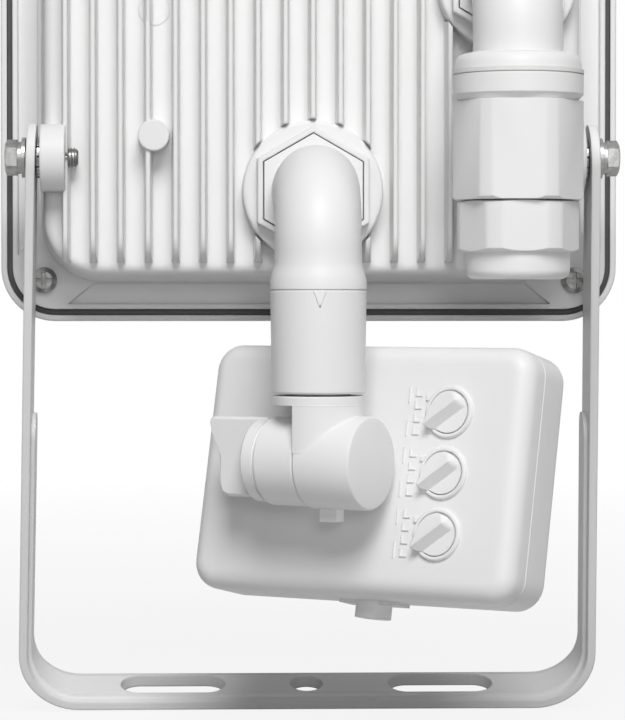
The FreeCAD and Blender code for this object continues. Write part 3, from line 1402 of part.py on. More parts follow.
# Sensor head
HEAD = KNUCKLE + (move("0", "0", "0", "1; 0; 0", "-head_pitch"),)
cover = new_body("sensor_rear_cover")
outline = new_sketch(cover, "XZ_Plane", "cover_outline", "-head_back")
rounded(outline, "head_left", "head_right", "head_low", "head_high", "head_corner_radius")
pad(cover, outline, "cover_deep", flip=True)
round_edges(cover, "cover_edge", lambda e: lies_at(e, "Y", number("head_back")), "cover_edges")
outline = new_sketch(cover, "YZ_Plane", "lug_outline", "lug_left")
circle(outline, "0", "0", "knuckle_radius")
pad(cover, outline, "lug_long")
outline = new_sketch(cover, "YZ_Plane", "lug_neck", "lug_left")
polygon(outline, [
    ("0", "-lug_neck_half"), ("lug_neck_end", "-lug_neck_half"), ("lug_neck_end", "lug_neck_half"),
    ("0", "lug_neck_half"),
])
pad(cover, outline, "lug_long")
outline = new_sketch(cover, "YZ_Plane", "lug_bore", "lug_right")
circle(outline, "0", "0", "clamp_hole")
pocket(cover, outline, "lug_bore_long")
outline = new_sketch(cover, "XZ_Plane", "dial_rings", "-head_back")
for z in ("dial_low_z", "dial_z", "dial_top_z"):
    circle(outline, "dial_x", z, "dial_ring")
pad(cover, outline, "dial_ring_high")
outline = new_sketch(cover, "XZ_Plane", "cover_cavity_outline", "-cover_front")
rounded(outline, "inner_left", "inner_right", "inner_low", "inner_high", "inner_corner")
pocket(cover, outline, "cover_cavity", flip=True)
outline = new_sketch(cover, "XZ_Plane", "dial_recesses", "-dial_ring_back")
for z in ("dial_low_z", "dial_z", "dial_top_z"):
    circle(outline, "dial_x", z, "dial_hole")
pocket(cover, outline, "dial_recess")
outline = new_sketch(cover, "XZ_Plane", "stem_holes", "-head_back")
for z in ("dial_low_z", "dial_z", "dial_top_z"):
    circle(outline, "dial_x", z, "dial_hole_stem")
pocket(cover, outline, "stem_hole_deep")
outline = new_sketch(cover, "XZ_Plane", "board_rests", "-cover_floor")
for x in ("rest_left", "rest_right"):
    for z in ("rest_low", "rest_high"):
        circle(outline, x, z, "board_rest")
pad(cover, outline, "rest_long", flip=True)
keep(seat(cover, *HEAD))

shell = new_body("sensor_front_shell")
outline = new_sketch(shell, "XZ_Plane", "shell_outline", "-cover_front")
rounded(outline, "head_left", "head_right", "head_low", "head_high", "head_corner_radius")
pad(shell, outline, "shell_deep", flip=True)
round_edges(shell, "shell_edge", lambda e: lies_at(e, "Y", number("shell_front")), "shell_edges")
outline = new_sketch(shell, "XZ_Plane", "shell_cavity_outline", "-cover_front")
rounded(outline, "inner_left", "inner_right", "inner_low", "inner_high", "inner_corner")
pocket(shell, outline, "shell_cavity")
outline = new_sketch(shell, "XZ_Plane", "lens_opening", "-cover_front")
circle(outline, "head_middle", "lens_middle_z", "lens_hole")
pocket(shell, outline, "shell_through")
keep(seat(shell, *HEAD))

dome = join("Part::MultiCommon", "lens_dome", [
    seat(doc.addObject("Part::Sphere", "lens_outer_sphere"), move("0", "0", "lens_drop")),
    cylinder("lens_outer_limit", "lens_radius", "lens_full"),
])
hollow = join("Part::MultiCommon", "lens_hollow_dome", [
    seat(doc.addObject("Part::Sphere", "lens_inner_sphere"), move("0", "0", "lens_drop")),
    cylinder("lens_inner_limit", "lens_inner_radius", "lens_full"),
])
doc.getObject("lens_outer_sphere").setExpression("Radius", "Sizes.lens_sphere")
doc.getObject("lens_inner_sphere").setExpression("Radius", "Sizes.lens_inner_sphere")
lens_solid = join("Part::MultiFuse", "lens_solid", [
    dome,
    turned("lens_flange_ring", [
        ("lens_inner_radius", "-lens_flange"), ("lens_flange_radius", "-lens_flange"),
        ("lens_flange_radius", "0"), ("lens_inner_radius", "0"),
    ]),
])
keep(seat(cut("sensor_lens", lens_solid, hollow), *HEAD,
          move("head_middle", "shell_floor", "lens_middle_z", "1; 0; 0", "-90")))

sensor_board = slab("sensor_board", "sensor_left", "sensor_right", "sensor_low", "sensor_high",
                    "inner_corner", "sensor_board_y", "sensor_board_thick")
keep(seat(sensor_board, *HEAD))
keep(cylinder("pyro_sensor", "can_radius", "can_high", *HEAD,
              move("head_middle", "sensor_board_front", "lens_middle_z", "1; 0; 0", "-90")))
for name, z in (("low", "dial_low_z"), ("middle", "dial_z"), ("top", "dial_top_z")):
    pot = slab("trimmer_" + name, "-pot_half", "pot_half", "-pot_half", "pot_half", "pot_corner",
               "pot_back", "pot_high")
    outline = new_sketch(pot, "XZ_Plane", "pot_shaft_" + name, "-pot_back")
    circle(outline, "0", "0", "pot_shaft_hole")
    pocket(pot, outline, "pot_high")
    keep(seat(pot, *HEAD, move("dial_x", "0", z)))
    dial = turned("dial_" + name, [
        ("0", "dial_stem_end"), ("dial_stem", "dial_stem_end"), ("dial_stem", "dial_bottom"),
        ("dial_radius", "dial_bottom"), ("dial_radius", "dial_bevel"), ("dial_bevel_radius", "dial_proud"),
        ("0", "dial_proud"),
    ])
    outline = new_sketch(dial, "XY_Plane", "dial_bar_" + name, "dial_proud")
    polygon(outline, [
        ("-dial_bar_long", "-dial_bar_half"), ("dial_bar_point", "-dial_bar_half"), ("dial_bar_tip", "0"),
        ("dial_bar_point", "dial_bar_half"), ("-dial_bar_long", "dial_bar_half"),
    ])
    pad(dial, outline, "dial_bar_high")
    keep(seat(dial, *HEAD, move("dial_x", "head_back", z, "1; 0; 0", "90"),
              move("0", "0", "0", "0; 0; 1", "dial_turn")))

bottom = join("Part::MultiFuse", "bottom_cap", [
    box("bottom_pad", "-bottom_pad_half_x", "-bottom_pad_half_y", "-bottom_pad_high",
        "bottom_pad_long", "bottom_pad_wide", "bottom_pad_high"),
    cylinder("bottom_stud", "bottom_cap_radius", "bottom_cap_long", move("0", "0", "-bottom_cap_long")),
])
keep(seat(bottom, *HEAD, move("head_middle", "bottom_y", "head_low")))


doc.recompute()
os.makedirs("parts", exist_ok=True)
for item in doc.Objects:
    if "Invalid" in item.State or "Error" in item.State:
        raise RuntimeError("not built: " + item.Label)
for item in nodes:
    if item.Shape.isNull() or not item.Shape.isValid():
        raise RuntimeError("bad shape: " + item.Label)
for item in nodes:
    item.Shape.exportStep(os.path.join("parts", item.Label + ".step"))
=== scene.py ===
"""Dresses the motion sensor floodlight: finishes, small surface details, light and camera."""

import json
import logging
import math
from dataclasses import dataclass, field
from enum import Enum
from functools import cache
from typing import Any

import bmesh
import bpy
import numpy as np
from mathutils import Matrix, Vector


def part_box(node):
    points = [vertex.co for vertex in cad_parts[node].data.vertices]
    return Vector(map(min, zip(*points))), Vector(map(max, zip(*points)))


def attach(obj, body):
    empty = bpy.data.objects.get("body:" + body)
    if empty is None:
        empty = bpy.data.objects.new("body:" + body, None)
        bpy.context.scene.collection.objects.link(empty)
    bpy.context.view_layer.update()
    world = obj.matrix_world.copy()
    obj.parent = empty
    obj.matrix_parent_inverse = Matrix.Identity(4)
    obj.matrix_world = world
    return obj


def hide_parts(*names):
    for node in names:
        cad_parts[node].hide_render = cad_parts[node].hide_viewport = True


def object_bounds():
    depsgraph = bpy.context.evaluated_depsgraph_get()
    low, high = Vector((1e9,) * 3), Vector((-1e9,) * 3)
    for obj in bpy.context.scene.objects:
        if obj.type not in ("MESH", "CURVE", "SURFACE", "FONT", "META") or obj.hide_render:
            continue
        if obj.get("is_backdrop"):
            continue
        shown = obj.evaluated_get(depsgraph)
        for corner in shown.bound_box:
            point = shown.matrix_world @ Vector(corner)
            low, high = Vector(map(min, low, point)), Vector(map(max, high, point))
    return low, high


log = logging.getLogger("floodlight")
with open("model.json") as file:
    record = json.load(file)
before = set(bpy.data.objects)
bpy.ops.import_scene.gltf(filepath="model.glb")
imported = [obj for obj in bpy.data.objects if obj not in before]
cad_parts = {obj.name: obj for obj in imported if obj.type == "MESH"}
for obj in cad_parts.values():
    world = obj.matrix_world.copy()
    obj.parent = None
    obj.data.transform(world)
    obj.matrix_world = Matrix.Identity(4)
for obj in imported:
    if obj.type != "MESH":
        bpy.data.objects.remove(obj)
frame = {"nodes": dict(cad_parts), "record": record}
MM = 0.001


class Op(Enum):
    """Math node operations that expressions on values use."""

    ADD = "ADD"
    MULTIPLY = "MULTIPLY"


class Value:
    """Wraps one number socket, so that shader maths reads as plain arithmetic."""

    def __init__(self, shader: "Shader", socket: bpy.types.NodeSocket) -> None:
        """Keeps the socket and the shader it belongs to."""
        self.shader = shader
        self.socket = socket

    def _math(self, op: Op, first: Any, second: Any) -> "Value":
        """Adds one Math node.

        Args:
            op: the operation.
            first: a Value or a number.
            second: a Value or a number.

        Returns:
            The node's result.
        """
        return self.shader.value("ShaderNodeMath", {"operation": op.value}, {0: first, 1: second})

    def __add__(self, other: Any) -> "Value":
        """self + other."""
        return self._math(Op.ADD, self, other)

    def __radd__(self, other: Any) -> "Value":
        """other + self."""
        return self._math(Op.ADD, other, self)

    def __mul__(self, other: Any) -> "Value":
        """self * other."""
        return self._math(Op.MULTIPLY, self, other)


class Shader:
    """Builds one material's node tree."""

    def __init__(self, name: str) -> None:
        """Starts an empty material with a Principled BSDF."""
        self.material = bpy.data.materials.new(name)
        self.material.use_nodes = True
        self.tree = self.material.node_tree
        self.tree.nodes.clear()
        self.output = self.tree.nodes.new("ShaderNodeOutputMaterial")
        self.bsdf = self.tree.nodes.new("ShaderNodeBsdfPrincipled")
        self.tree.links.new(self.bsdf.outputs[0], self.output.inputs[0])

    def node(self, kind: str, settings: dict[str, Any], sockets: dict[Any, Any]) -> bpy.types.Node:
        """Adds any node.

        Args:
            kind: the node's type.
            settings: properties, set first; "stops" is a ramp's list of (place, grey).
            sockets: input name or number to a Value, a socket, a number or a colour.

        Returns:
            The node.
        """
        made = self.tree.nodes.new(kind)
        for word, setting in settings.items():
            if word == "stops":
                self._stops(made.color_ramp, setting)
            else:
                setattr(made, word, setting)
        for place, given in sockets.items():
            self.feed(made.inputs[place], given)
        return made

    @staticmethod
    def _stops(ramp: bpy.types.ColorRamp, stops: list[tuple[float, float]]) -> None:
        """Sets a ramp's grey stops."""
        while len(ramp.elements) < len(stops):
            ramp.elements.new(0.5)
        for element, (place, grey) in zip(ramp.elements, stops):
            element.position = place
            element.color = (grey, grey, grey, 1.0)

    def feed(self, socket: bpy.types.NodeSocket, given: Any) -> None:
        """Links a socket, or sets its constant.

        Args:
            socket: the input.
            given: a Value, an output socket, a number or a colour.
        """
        if isinstance(given, Value):
            self.tree.links.new(given.socket, socket)
        elif isinstance(given, bpy.types.NodeSocket):
            self.tree.links.new(given, socket)
        elif isinstance(given, (tuple, list)) and len(given) == 3 and socket.type == "RGBA":
            socket.default_value = (*given, 1.0)
        else:
            socket.default_value = given

    def value(self, kind: str, settings: dict[str, Any], sockets: dict[Any, Any], out: Any = 0) -> Value:
        """Adds a node and wraps one of its outputs."""
        return Value(self, self.node(kind, settings, sockets).outputs[out])

    def place(self) -> bpy.types.NodeSocket:
        """The surface point in the object's own metres."""
        return self.node("ShaderNodeTexCoord", {}, {}).outputs["Object"]

    def noise(self, per_metre: float, detail: float = 2.0, vector: Any = None) -> Value:
        """Smooth noise from 0 to 1.

        Args:
            per_metre: how many lumps to a metre.
            detail: octaves.
            vector: where it is read; the object's own place if not given.

        Returns:
            The noise.
        """
        sockets = {"Vector": vector or self.place(), "Scale": per_metre, "Detail": detail}
        return self.value("ShaderNodeTexNoise", {}, sockets, "Fac")

    def ramp(self, value: Value, stops: list[tuple[float, float]]) -> Value:
        """Maps a value through grey stops."""
        node = self.node("ShaderNodeValToRGB", {"stops": stops}, {"Fac": value})
        return Value(self, node.outputs["Color"])

    def mix(self, factor: Any, first: Any, second: Any) -> bpy.types.NodeSocket:
        """A colour between two.

        Args:
            factor: 0 gives the first colour.
            first: a colour or a colour socket.
            second: a colour or a colour socket.

        Returns:
            The mixed colour.
        """
        node = self.node("ShaderNodeMix", {"data_type": "RGBA"}, {})
        self.feed(node.inputs[0], factor)
        self.feed(node.inputs[6], first)
        self.feed(node.inputs[7], second)
        return node.outputs[2]

    def bump(self, height: Value, millimetres: float, edge: float = 0.0) -> None:
        """Feeds the surface's normal from a height, over edges rounded a little.

        Args:
            height: 0 to 1.
            millimetres: how far 1 stands above 0.
            edge: the radius, in millimetres, that sharp edges seem rounded to.
        """
        sockets = {"Height": height, "Distance": millimetres * MM, "Strength": 1.0}
        if edge > 0:
            rounded = self.node("ShaderNodeBevel", {"samples": 6}, {"Radius": edge * MM})
            sockets["Normal"] = rounded.outputs[0]
        self.feed(self.bsdf.inputs["Normal"], self.node("ShaderNodeBump", {}, sockets).outputs[0])


class Finish:
    """A finish makes one material and remembers the record's slot that it stands for."""

    slot: str = ""

    def build(self) -> bpy.types.Material:
        """Makes the material."""
        raise NotImplementedError

    @cache
    def material(self) -> bpy.types.Material:
        """The material, made once for each finish."""
        return self.build()


@dataclass(frozen=True)
class PowderCoat(Finish):
    """White powder coat on metal: a fine orange peel with slightly deeper tone in its hollows."""

    slot: str = "white_paint"
    light: tuple[float, float, float] = (0.86, 0.862, 0.86)
    deep: tuple[float, float, float] = (0.80, 0.80, 0.795)
    peel_per_metre: float = 900.0
    peel_high: float = 0.012
    peel_share: float = 0.15
    broad_per_metre: float = 22.0
    broad_share: float = 0.7
    edge: float = 0.7
    rough: float = 0.40
    rough_spread: float = 0.10
    shine: float = 0.22

    def build(self) -> bpy.types.Material:
        """Mixes two whites by broad noise; fine noise stands up as orange peel."""
        shader = Shader(self.slot)
        broad = shader.noise(self.broad_per_metre, 3.0)
        peel = shader.noise(self.peel_per_metre, 2.0)
        hollow = broad * self.broad_share + peel * self.peel_share
        shader.feed(shader.bsdf.inputs["Base Color"], shader.mix(hollow, self.light, self.deep))
        shader.feed(shader.bsdf.inputs["Roughness"], self.rough + broad * self.rough_spread)
        shader.feed(shader.bsdf.inputs["Specular IOR Level"], self.shine)
        shader.bump(peel, self.peel_high, self.edge)
        return shader.material


@dataclass(frozen=True)
class MouldedPlastic(Finish):
    """Satin moulded plastic with a very fine spark-eroded grain."""

    slot: str = "white_plastic"
    light: tuple[float, float, float] = (0.87, 0.872, 0.87)
    deep: tuple[float, float, float] = (0.83, 0.83, 0.828)
    rough: float = 0.42
    rough_spread: float = 0.08
    broad_per_metre: float = 35.0
    grain_per_metre: float = 2600.0
    grain_high: float = 0.004
    edge: float = 0.3
    shine: float = 0.28

    def build(self) -> bpy.types.Material:
        """Mixes two tones by broad noise; fine noise gives the grain."""
        shader = Shader(self.slot)
        broad = shader.noise(self.broad_per_metre, 2.0)
        grain = shader.noise(self.grain_per_metre, 1.0)
        shader.feed(shader.bsdf.inputs["Base Color"], shader.mix(broad, self.light, self.deep))
        least = self.rough - self.rough_spread / 2
        shader.feed(shader.bsdf.inputs["Roughness"], least + broad * self.rough_spread)
        shader.feed(shader.bsdf.inputs["Specular IOR Level"], self.shine)
        shader.bump(grain, self.grain_high, self.edge)
        return shader.material


@dataclass(frozen=True)
class PlatedSteel(Finish):
    """Zinc-plated steel: patchy brightness and faint turning marks."""

    slot: str = "zinc_steel"
    light: tuple[float, float, float] = (0.46, 0.46, 0.455)
    deep: tuple[float, float, float] = (0.14, 0.14, 0.138)
    rough: float = 0.22
    rough_spread: float = 0.16
    spangle_per_metre: float = 700.0
    marks_per_metre: float = 500.0
    marks_stretch: tuple[float, float, float] = (8.0, 1.0, 1.0)
    marks_high: float = 0.008
    edge: float = 0.12

    def build(self) -> bpy.types.Material:
        """Patches change both colour and roughness; stretched noise along X gives turning marks."""
        shader = Shader(self.slot)
        patch = shader.noise(self.spangle_per_metre, 3.0)
        sockets = {"Vector": shader.place(), "Scale": self.marks_stretch}
        stretch = shader.node("ShaderNodeMapping", {}, sockets)
        marks = shader.noise(self.marks_per_metre, 2.0, stretch.outputs[0])
        shader.feed(shader.bsdf.inputs["Base Color"], shader.mix(patch, self.light, self.deep))
        shader.feed(shader.bsdf.inputs["Roughness"], self.rough + patch * self.rough_spread)
        shader.feed(shader.bsdf.inputs["Metallic"], 1.0)
        shader.bump(marks, self.marks_high, self.edge)
        return shader.material


@dataclass(frozen=True)
class PlainFinish(Finish):
    """A simple finish: two tones by noise, nearly one roughness, and an optional metal sheen."""

    slot: str = "grey_rubber"
    light: tuple[float, float, float] = (0.3, 0.3, 0.3)
    deep: tuple[float, float, float] = (0.24, 0.24, 0.24)
    rough: float = 0.7
    rough_spread: float = 0.1
    metal: float = 0.0
    per_metre: float = 400.0
    high: float = 0.01
    edge: float = 0.15

    def build(self) -> bpy.types.Material:
        """Mixes two tones by one noise, which also stands up as texture."""
        shader = Shader(self.slot)
        grain = shader.noise(self.per_metre, 2.0)
        shader.feed(shader.bsdf.inputs["Base Color"], shader.mix(grain, self.light, self.deep))
        least = self.rough - self.rough_spread / 2
        shader.feed(shader.bsdf.inputs["Roughness"], least + grain * self.rough_spread)
        shader.feed(shader.bsdf.inputs["Metallic"], self.metal)
        shader.bump(grain, self.high, self.edge)
        return shader.material


@dataclass(frozen=True)
class ClearGlass(Finish):
    """Clear toughened glass, faintly green, with a little unevenness."""

    slot: str = "clear_glass"
    tint: tuple[float, float, float] = (0.93, 0.97, 0.955)
    rough: float = 0.03
    rough_spread: float = 0.02
    waves_per_metre: float = 12.0
    wave_high: float = 0.01
    let_through: float = 0.9
    index: float = 1.45

    def build(self) -> bpy.types.Material:
        """Full transmission with a faint waviness."""
        shader = Shader(self.slot)
        wave = shader.noise(self.waves_per_metre, 1.0)
        shader.feed(shader.bsdf.inputs["Base Color"], self.tint)
        shader.feed(shader.bsdf.inputs["Roughness"], self.rough + wave * self.rough_spread)
        shader.feed(shader.bsdf.inputs["Transmission Weight"], self.let_through)
        shader.feed(shader.bsdf.inputs["IOR"], self.index)
        shader.bump(wave, self.wave_high)
        return shader.material


@dataclass(frozen=True)
class CircuitBoard(Finish):
    """A circuit board: solder mask with thin tracks a shade lighter."""

    slot: str = "board_green"
    mask: tuple[float, float, float] = (0.03, 0.22, 0.09)
    track: tuple[float, float, float] = (0.06, 0.34, 0.15)
    per_metre: float = 420.0
    rough: float = 0.35

    def build(self) -> bpy.types.Material:
        """Bands where a brick pattern's mortar shows stand for tracks."""
        shader = Shader(self.slot)
        brick = shader.node(
            "ShaderNodeTexBrick",
            {"offset": 0.37},
            {"Vector": shader.place(), "Scale": self.per_metre, "Mortar Size": 0.03},
        )
        line = Value(shader, brick.outputs["Fac"])
        shader.feed(shader.bsdf.inputs["Base Color"], shader.mix(line, self.mask, self.track))
        shader.feed(shader.bsdf.inputs["Roughness"], self.rough + line * 0.1)
        shader.bump(line, 0.03)
        return shader.material


@dataclass(frozen=True)
class LedPhosphor(Finish):
    """The yellow phosphor of an unlit LED in its pale frame."""

    slot: str = "led_phosphor"
    phosphor: tuple[float, float, float] = (0.93, 0.76, 0.22)
    frame_tone: tuple[float, float, float] = (0.9, 0.88, 0.8)
    per_metre: float = 900.0

    def build(self) -> bpy.types.Material:
        """Grainy yellow; the grain also lifts the surface."""
        shader = Shader(self.slot)
        grain = shader.noise(self.per_metre, 2.0)
        shader.feed(shader.bsdf.inputs["Base Color"], shader.mix(grain * 0.5, self.phosphor, self.frame_tone))
        shader.feed(shader.bsdf.inputs["Roughness"], 0.5 + grain * 0.2)
        shader.bump(grain, 0.02)
        return shader.material


FINISHES: dict[str, Finish] = {
    finish.slot: finish
    for finish in (
        PowderCoat(),
        MouldedPlastic(),
        PlatedSteel(),
        PlatedSteel(slot="screw_steel", light=(0.36, 0.36, 0.355), deep=(0.14, 0.14, 0.138), rough=0.34),
        ClearGlass(),
        PlainFinish(),
        PlainFinish(slot="white_rubber", light=(0.82, 0.82, 0.81), deep=(0.74, 0.74, 0.73), rough=0.6),
        PlainFinish(slot="board_white", light=(0.88, 0.88, 0.86), deep=(0.82, 0.82, 0.80), rough=0.4),
        LedPhosphor(),
        PlainFinish(slot="reflector_white", light=(0.92, 0.92, 0.9), deep=(0.88, 0.88, 0.86), rough=0.25),
        PlainFinish(slot="driver_case", light=(0.06, 0.06, 0.06), deep=(0.04, 0.04, 0.04), rough=0.5),
        PlainFinish(slot="terminal_plastic", light=(0.85, 0.84, 0.8), deep=(0.8, 0.79, 0.75), rough=0.5),
        PlainFinish(slot="lens_plastic", light=(0.9, 0.9, 0.88), deep=(0.86, 0.86, 0.84), rough=0.45),
        CircuitBoard(),
        PlainFinish(slot="can_steel", light=(0.6, 0.6, 0.58), deep=(0.5, 0.5, 0.48), rough=0.3, metal=1.0),
        PlainFinish(slot="trimmer_blue", light=(0.08, 0.18, 0.5), deep=(0.06, 0.14, 0.42), rough=0.45),
    )
}


def grid_faces(rows: int, columns: int, wrap_rows: bool, wrap_columns: bool) -> np.ndarray:
    """Quads of a grid of points.

    Args:
        rows: number of rows.
        columns: number of columns.
        wrap_rows: the last row joins the first.
        wrap_columns: the last column joins the first.

    Returns:
        (m, 4) corner numbers.
    """
    i = np.arange(rows if wrap_rows else rows - 1)
    j = np.arange(columns if wrap_columns else columns - 1)
    i, j = np.meshgrid(i, j, indexing="ij")
    i, j = i.ravel(), j.ravel()
    k, n = (i + 1) % rows, (j + 1) % columns
    return np.stack([i * columns + j, k * columns + j, k * columns + n, i * columns + n], axis=1)


def turn(axis: str, degrees: float) -> np.ndarray:
    """The 3 by 3 turn about a row axis."""
    return np.array(Matrix.Rotation(math.radians(degrees), 3, axis))


@dataclass(frozen=True)
class Seat:
    """A local frame: a turn about its origin, and the origin's place in millimetres."""

    origin: tuple[float, float, float] = (0.0, -80.973, 60.459)
    yaw: float = -33.6
    pitch: float = 0.0

    def place(self, points: np.ndarray) -> np.ndarray:
        """Takes local millimetres to row metres.

        Args:
            points: (..., 3) local points.

        Returns:
            The points in the row frame: origin + Rz(yaw) Rx(pitch) p.
        """
        whole = turn("Z", self.yaw) @ turn("X", self.pitch)
        return (points @ whole.T + np.array(self.origin)) * MM


KNUCKLE_SEAT = Seat()
HEAD_SEAT = Seat(pitch=-12.0)
LAMP_SEAT = Seat(origin=(0.0, -46.172, 126.859), yaw=0.0)
ARM_SEAT = Seat(origin=(0.0, KNUCKLE_SEAT.origin[1], 0.0), yaw=0.0)
ROW_SEAT = Seat(origin=(0.0, 0.0, 0.0), yaw=0.0)

# Millimetres: the radius of an end that lies on the axis, and how far a patch stands proud.
HAIR = 0.01


def level_row(outline: np.ndarray, level: float) -> np.ndarray:
    """An outline in X and Z as a row of points at one depth Y."""
    return np.stack([outline[:, 0], np.full(len(outline), level), outline[:, 1]], axis=-1)


def rounded_outline(
    left: float, right: float, low: float, high: float, radius: float, steps: int = 9, straight: int = 5
) -> np.ndarray:
    """A rectangle with round corners, anticlockwise.

    Each corner is a quarter circle round its own centre, radius times (cos a, sin a), and each
    straight side between two corners gets the same number of evenly spaced points.

    Args:
        left: lowest first coordinate.
        right: highest first coordinate.
        low: lowest second coordinate.
        high: highest second coordinate.
        radius: corner radius.
        steps: points in a corner.
        straight: points inside a side.

    Returns:
        (n, 2) points.
    """
    centres = [(right - radius, high - radius), (left + radius, high - radius)]
    centres += [(left + radius, low + radius), (right - radius, low + radius)]
    corners = []
    for i, (x, z) in enumerate(centres):
        a = np.linspace(i * np.pi / 2, (i + 1) * np.pi / 2, steps)
        corners.append(np.stack([x + radius * np.cos(a), z + radius * np.sin(a)], axis=1))
    share = np.linspace(0, 1, straight + 2)[1:-1, None]
    parts = []
    for i in range(4):
        after = corners[(i + 1) % 4][0]
        parts += [corners[i], corners[i][-1] * (1 - share) + after * share]
    return np.concatenate(parts)


class Shells:
    """Closed surfaces in one local frame, joined into one piece."""

    def __init__(self, seat: Seat) -> None:
        """Starts with no surface."""
        self.seat = seat
        self.points: list[np.ndarray] = []
        self.faces: list[list[int]] = []
        self.count = 0

    def add(self, rows: np.ndarray, loop: bool = False) -> "Shells":
        """Adds a surface whose rows are closed outlines.

        The signed volume, a sixth of the sum of a . (b x c) over the triangles, tells whether
        the faces look inwards, and then they are turned round.

        Args:
            rows: (rows, columns, 3) local millimetres.
            loop: the last row joins the first; otherwise each end is closed round its middle.

        Returns:
            This object.
        """
        count, columns = rows.shape[:2]
        points = rows.reshape(-1, 3)
        faces = grid_faces(count, columns, loop, True)
        triangles = [faces[:, [0, 1, 2]], faces[:, [0, 2, 3]]]
        if not loop:
            points = np.concatenate([points, rows[:1].mean(1), rows[-1:].mean(1)])
            around = np.arange(columns)
            after = (around + 1) % columns
            base = (count - 1) * columns
            first = np.full(columns, count * columns)
            triangles.append(np.stack([first, around, after], axis=1))
            triangles.append(np.stack([first + 1, base + after, base + around], axis=1))
        every = np.concatenate(triangles)
        a, b, c = (points[every[:, i]] for i in range(3))
        inward = np.einsum("ij,ij->i", a, np.cross(b, c)).sum() < 0
        quads = [faces.tolist()] + [part.tolist() for part in triangles[2:]]
        for group in quads:
            for face in group:
                self.faces.append([self.count + i for i in (face[::-1] if inward else face)])
        self.points.append(points)
        self.count += len(points)
        return self

    def turned(
        self,
        profile: list[tuple[float, float]],
        at: tuple[float, float] = (0.0, 0.0),
        axis: str = "X",
        count: int = 64,
        loop: bool = True,
    ) -> "Shells":
        """Adds a surface of revolution.

        A profile point (along, radius) sweeps the circle radius times (cos a, sin a) about the
        axis, which passes through the given point of the plane across it. An end on the axis
        keeps a hair's radius.

        Args:
            profile: (along, radius) corners.
            at: where the axis crosses the plane of the other two coordinates.
            axis: "X", "Y" or "Z".
            count: points round the circle.
            loop: the profile is a closed ring.

        Returns:
            This object.
        """
        along = np.array(profile)[:, 0]
        radius = np.array(profile)[:, 1]
        angle = np.linspace(0, 2 * np.pi, count, endpoint=False)
        first = at[0] + radius[:, None] * np.cos(angle)
        second = at[1] + radius[:, None] * np.sin(angle)
        level = np.repeat(along[:, None], count, axis=1)
        order = {"X": (level, first, second), "Y": (first, level, second), "Z": (first, second, level)}
        return self.add(np.stack(order[axis], axis=-1), loop)

    def prism(self, outline: np.ndarray, low: float, high: float) -> "Shells":
        """Adds an upright prism of an outline in X and Y, between two heights."""
        rows = [np.column_stack([outline, np.full(len(outline), level)]) for level in (low, high)]
        return self.add(np.stack(rows))

    def box(self, low: tuple[float, float, float], high: tuple[float, float, float]) -> "Shells":
        """Adds a plain block between two corners."""
        outline = np.array([(low[0], low[1]), (high[0], low[1]), (high[0], high[1]), (low[0], high[1])])
        return self.prism(outline, low[2], high[2])

    def build(
        self, name: str, body: str, finish: str, stands_for: tuple[str, ...] = (), sharp: float = 32.0
    ) -> bpy.types.Object:
        """Makes the piece.

        Args:
            name: the object's name.
            body: the CAD body it rides on.
            finish: the record's slot.
            stands_for: the CAD nodes that it replaces.
            sharp: edges steeper than this many degrees stay sharp.

        Returns:
            The piece.
        """
        mesh = bpy.data.meshes.new(name)
        mesh.from_pydata(self.seat.place(np.concatenate(self.points)).tolist(), [], self.faces)
        mesh.shade_smooth()
        mesh.set_sharp_from_angle(angle=math.radians(sharp))
        piece = bpy.data.objects.new(name, mesh)
        bpy.context.scene.collection.objects.link(piece)
        mesh.materials.append(FINISHES[finish].material())
        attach(piece, body)
        if stands_for:
            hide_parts(*stands_for)
        log.info("%s: %d faces", name, len(mesh.polygons))
        return piece


@dataclass
class Dressing:
    """What every sub-assembly does: it smooths and dresses its own CAD nodes."""

    body: str = ""
    nodes: tuple[str, ...] = ()
    smooth_degrees: float = 32.0

    def slot_of(self, node: str) -> str:
        """The record's slot for a CAD node."""
        for entry in frame["record"]["subparts"]:
            if entry["node"] == node:
                return entry["material_slot"]
        raise KeyError(node)

    def smooth(self, node: str) -> bpy.types.Object:
        """Stands a merged, smooth-shaded copy in for a CAD node.

        Args:
            node: the CAD node.

        Returns:
            The copy.
        """
        source = frame["nodes"][node]
        slot = self.slot_of(node)
        mesh = source.data.copy()
        mesh.name = node + "_skin"
        work = bmesh.new()
        work.from_mesh(mesh)
        bmesh.ops.remove_doubles(work, verts=work.verts, dist=1e-6)
        bmesh.ops.dissolve_degenerate(work, edges=work.edges, dist=1e-7)
        work.to_mesh(mesh)
        work.free()
        if "custom_normal" in mesh.attributes:
            mesh.attributes.remove(mesh.attributes["custom_normal"])
        mesh.shade_smooth()
        mesh.set_sharp_from_angle(angle=math.radians(self.smooth_degrees))
        mesh.materials.clear()
        mesh.materials.append(FINISHES[slot].material())
        skin = bpy.data.objects.new(node + "_skin", mesh)
        bpy.context.scene.collection.objects.link(skin)
        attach(skin, self.body)
        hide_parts(node)
        log.info("%s: %d faces", skin.name, len(mesh.polygons))
        return skin

    def build(self) -> None:
        """Dresses every node of the sub-assembly."""
        for node in self.nodes:
            self.smooth(node)


@dataclass
class Bracket(Dressing):
    """The bent steel bracket."""

    body: str = "bracket"
    nodes: tuple[str, ...] = ("bracket",)


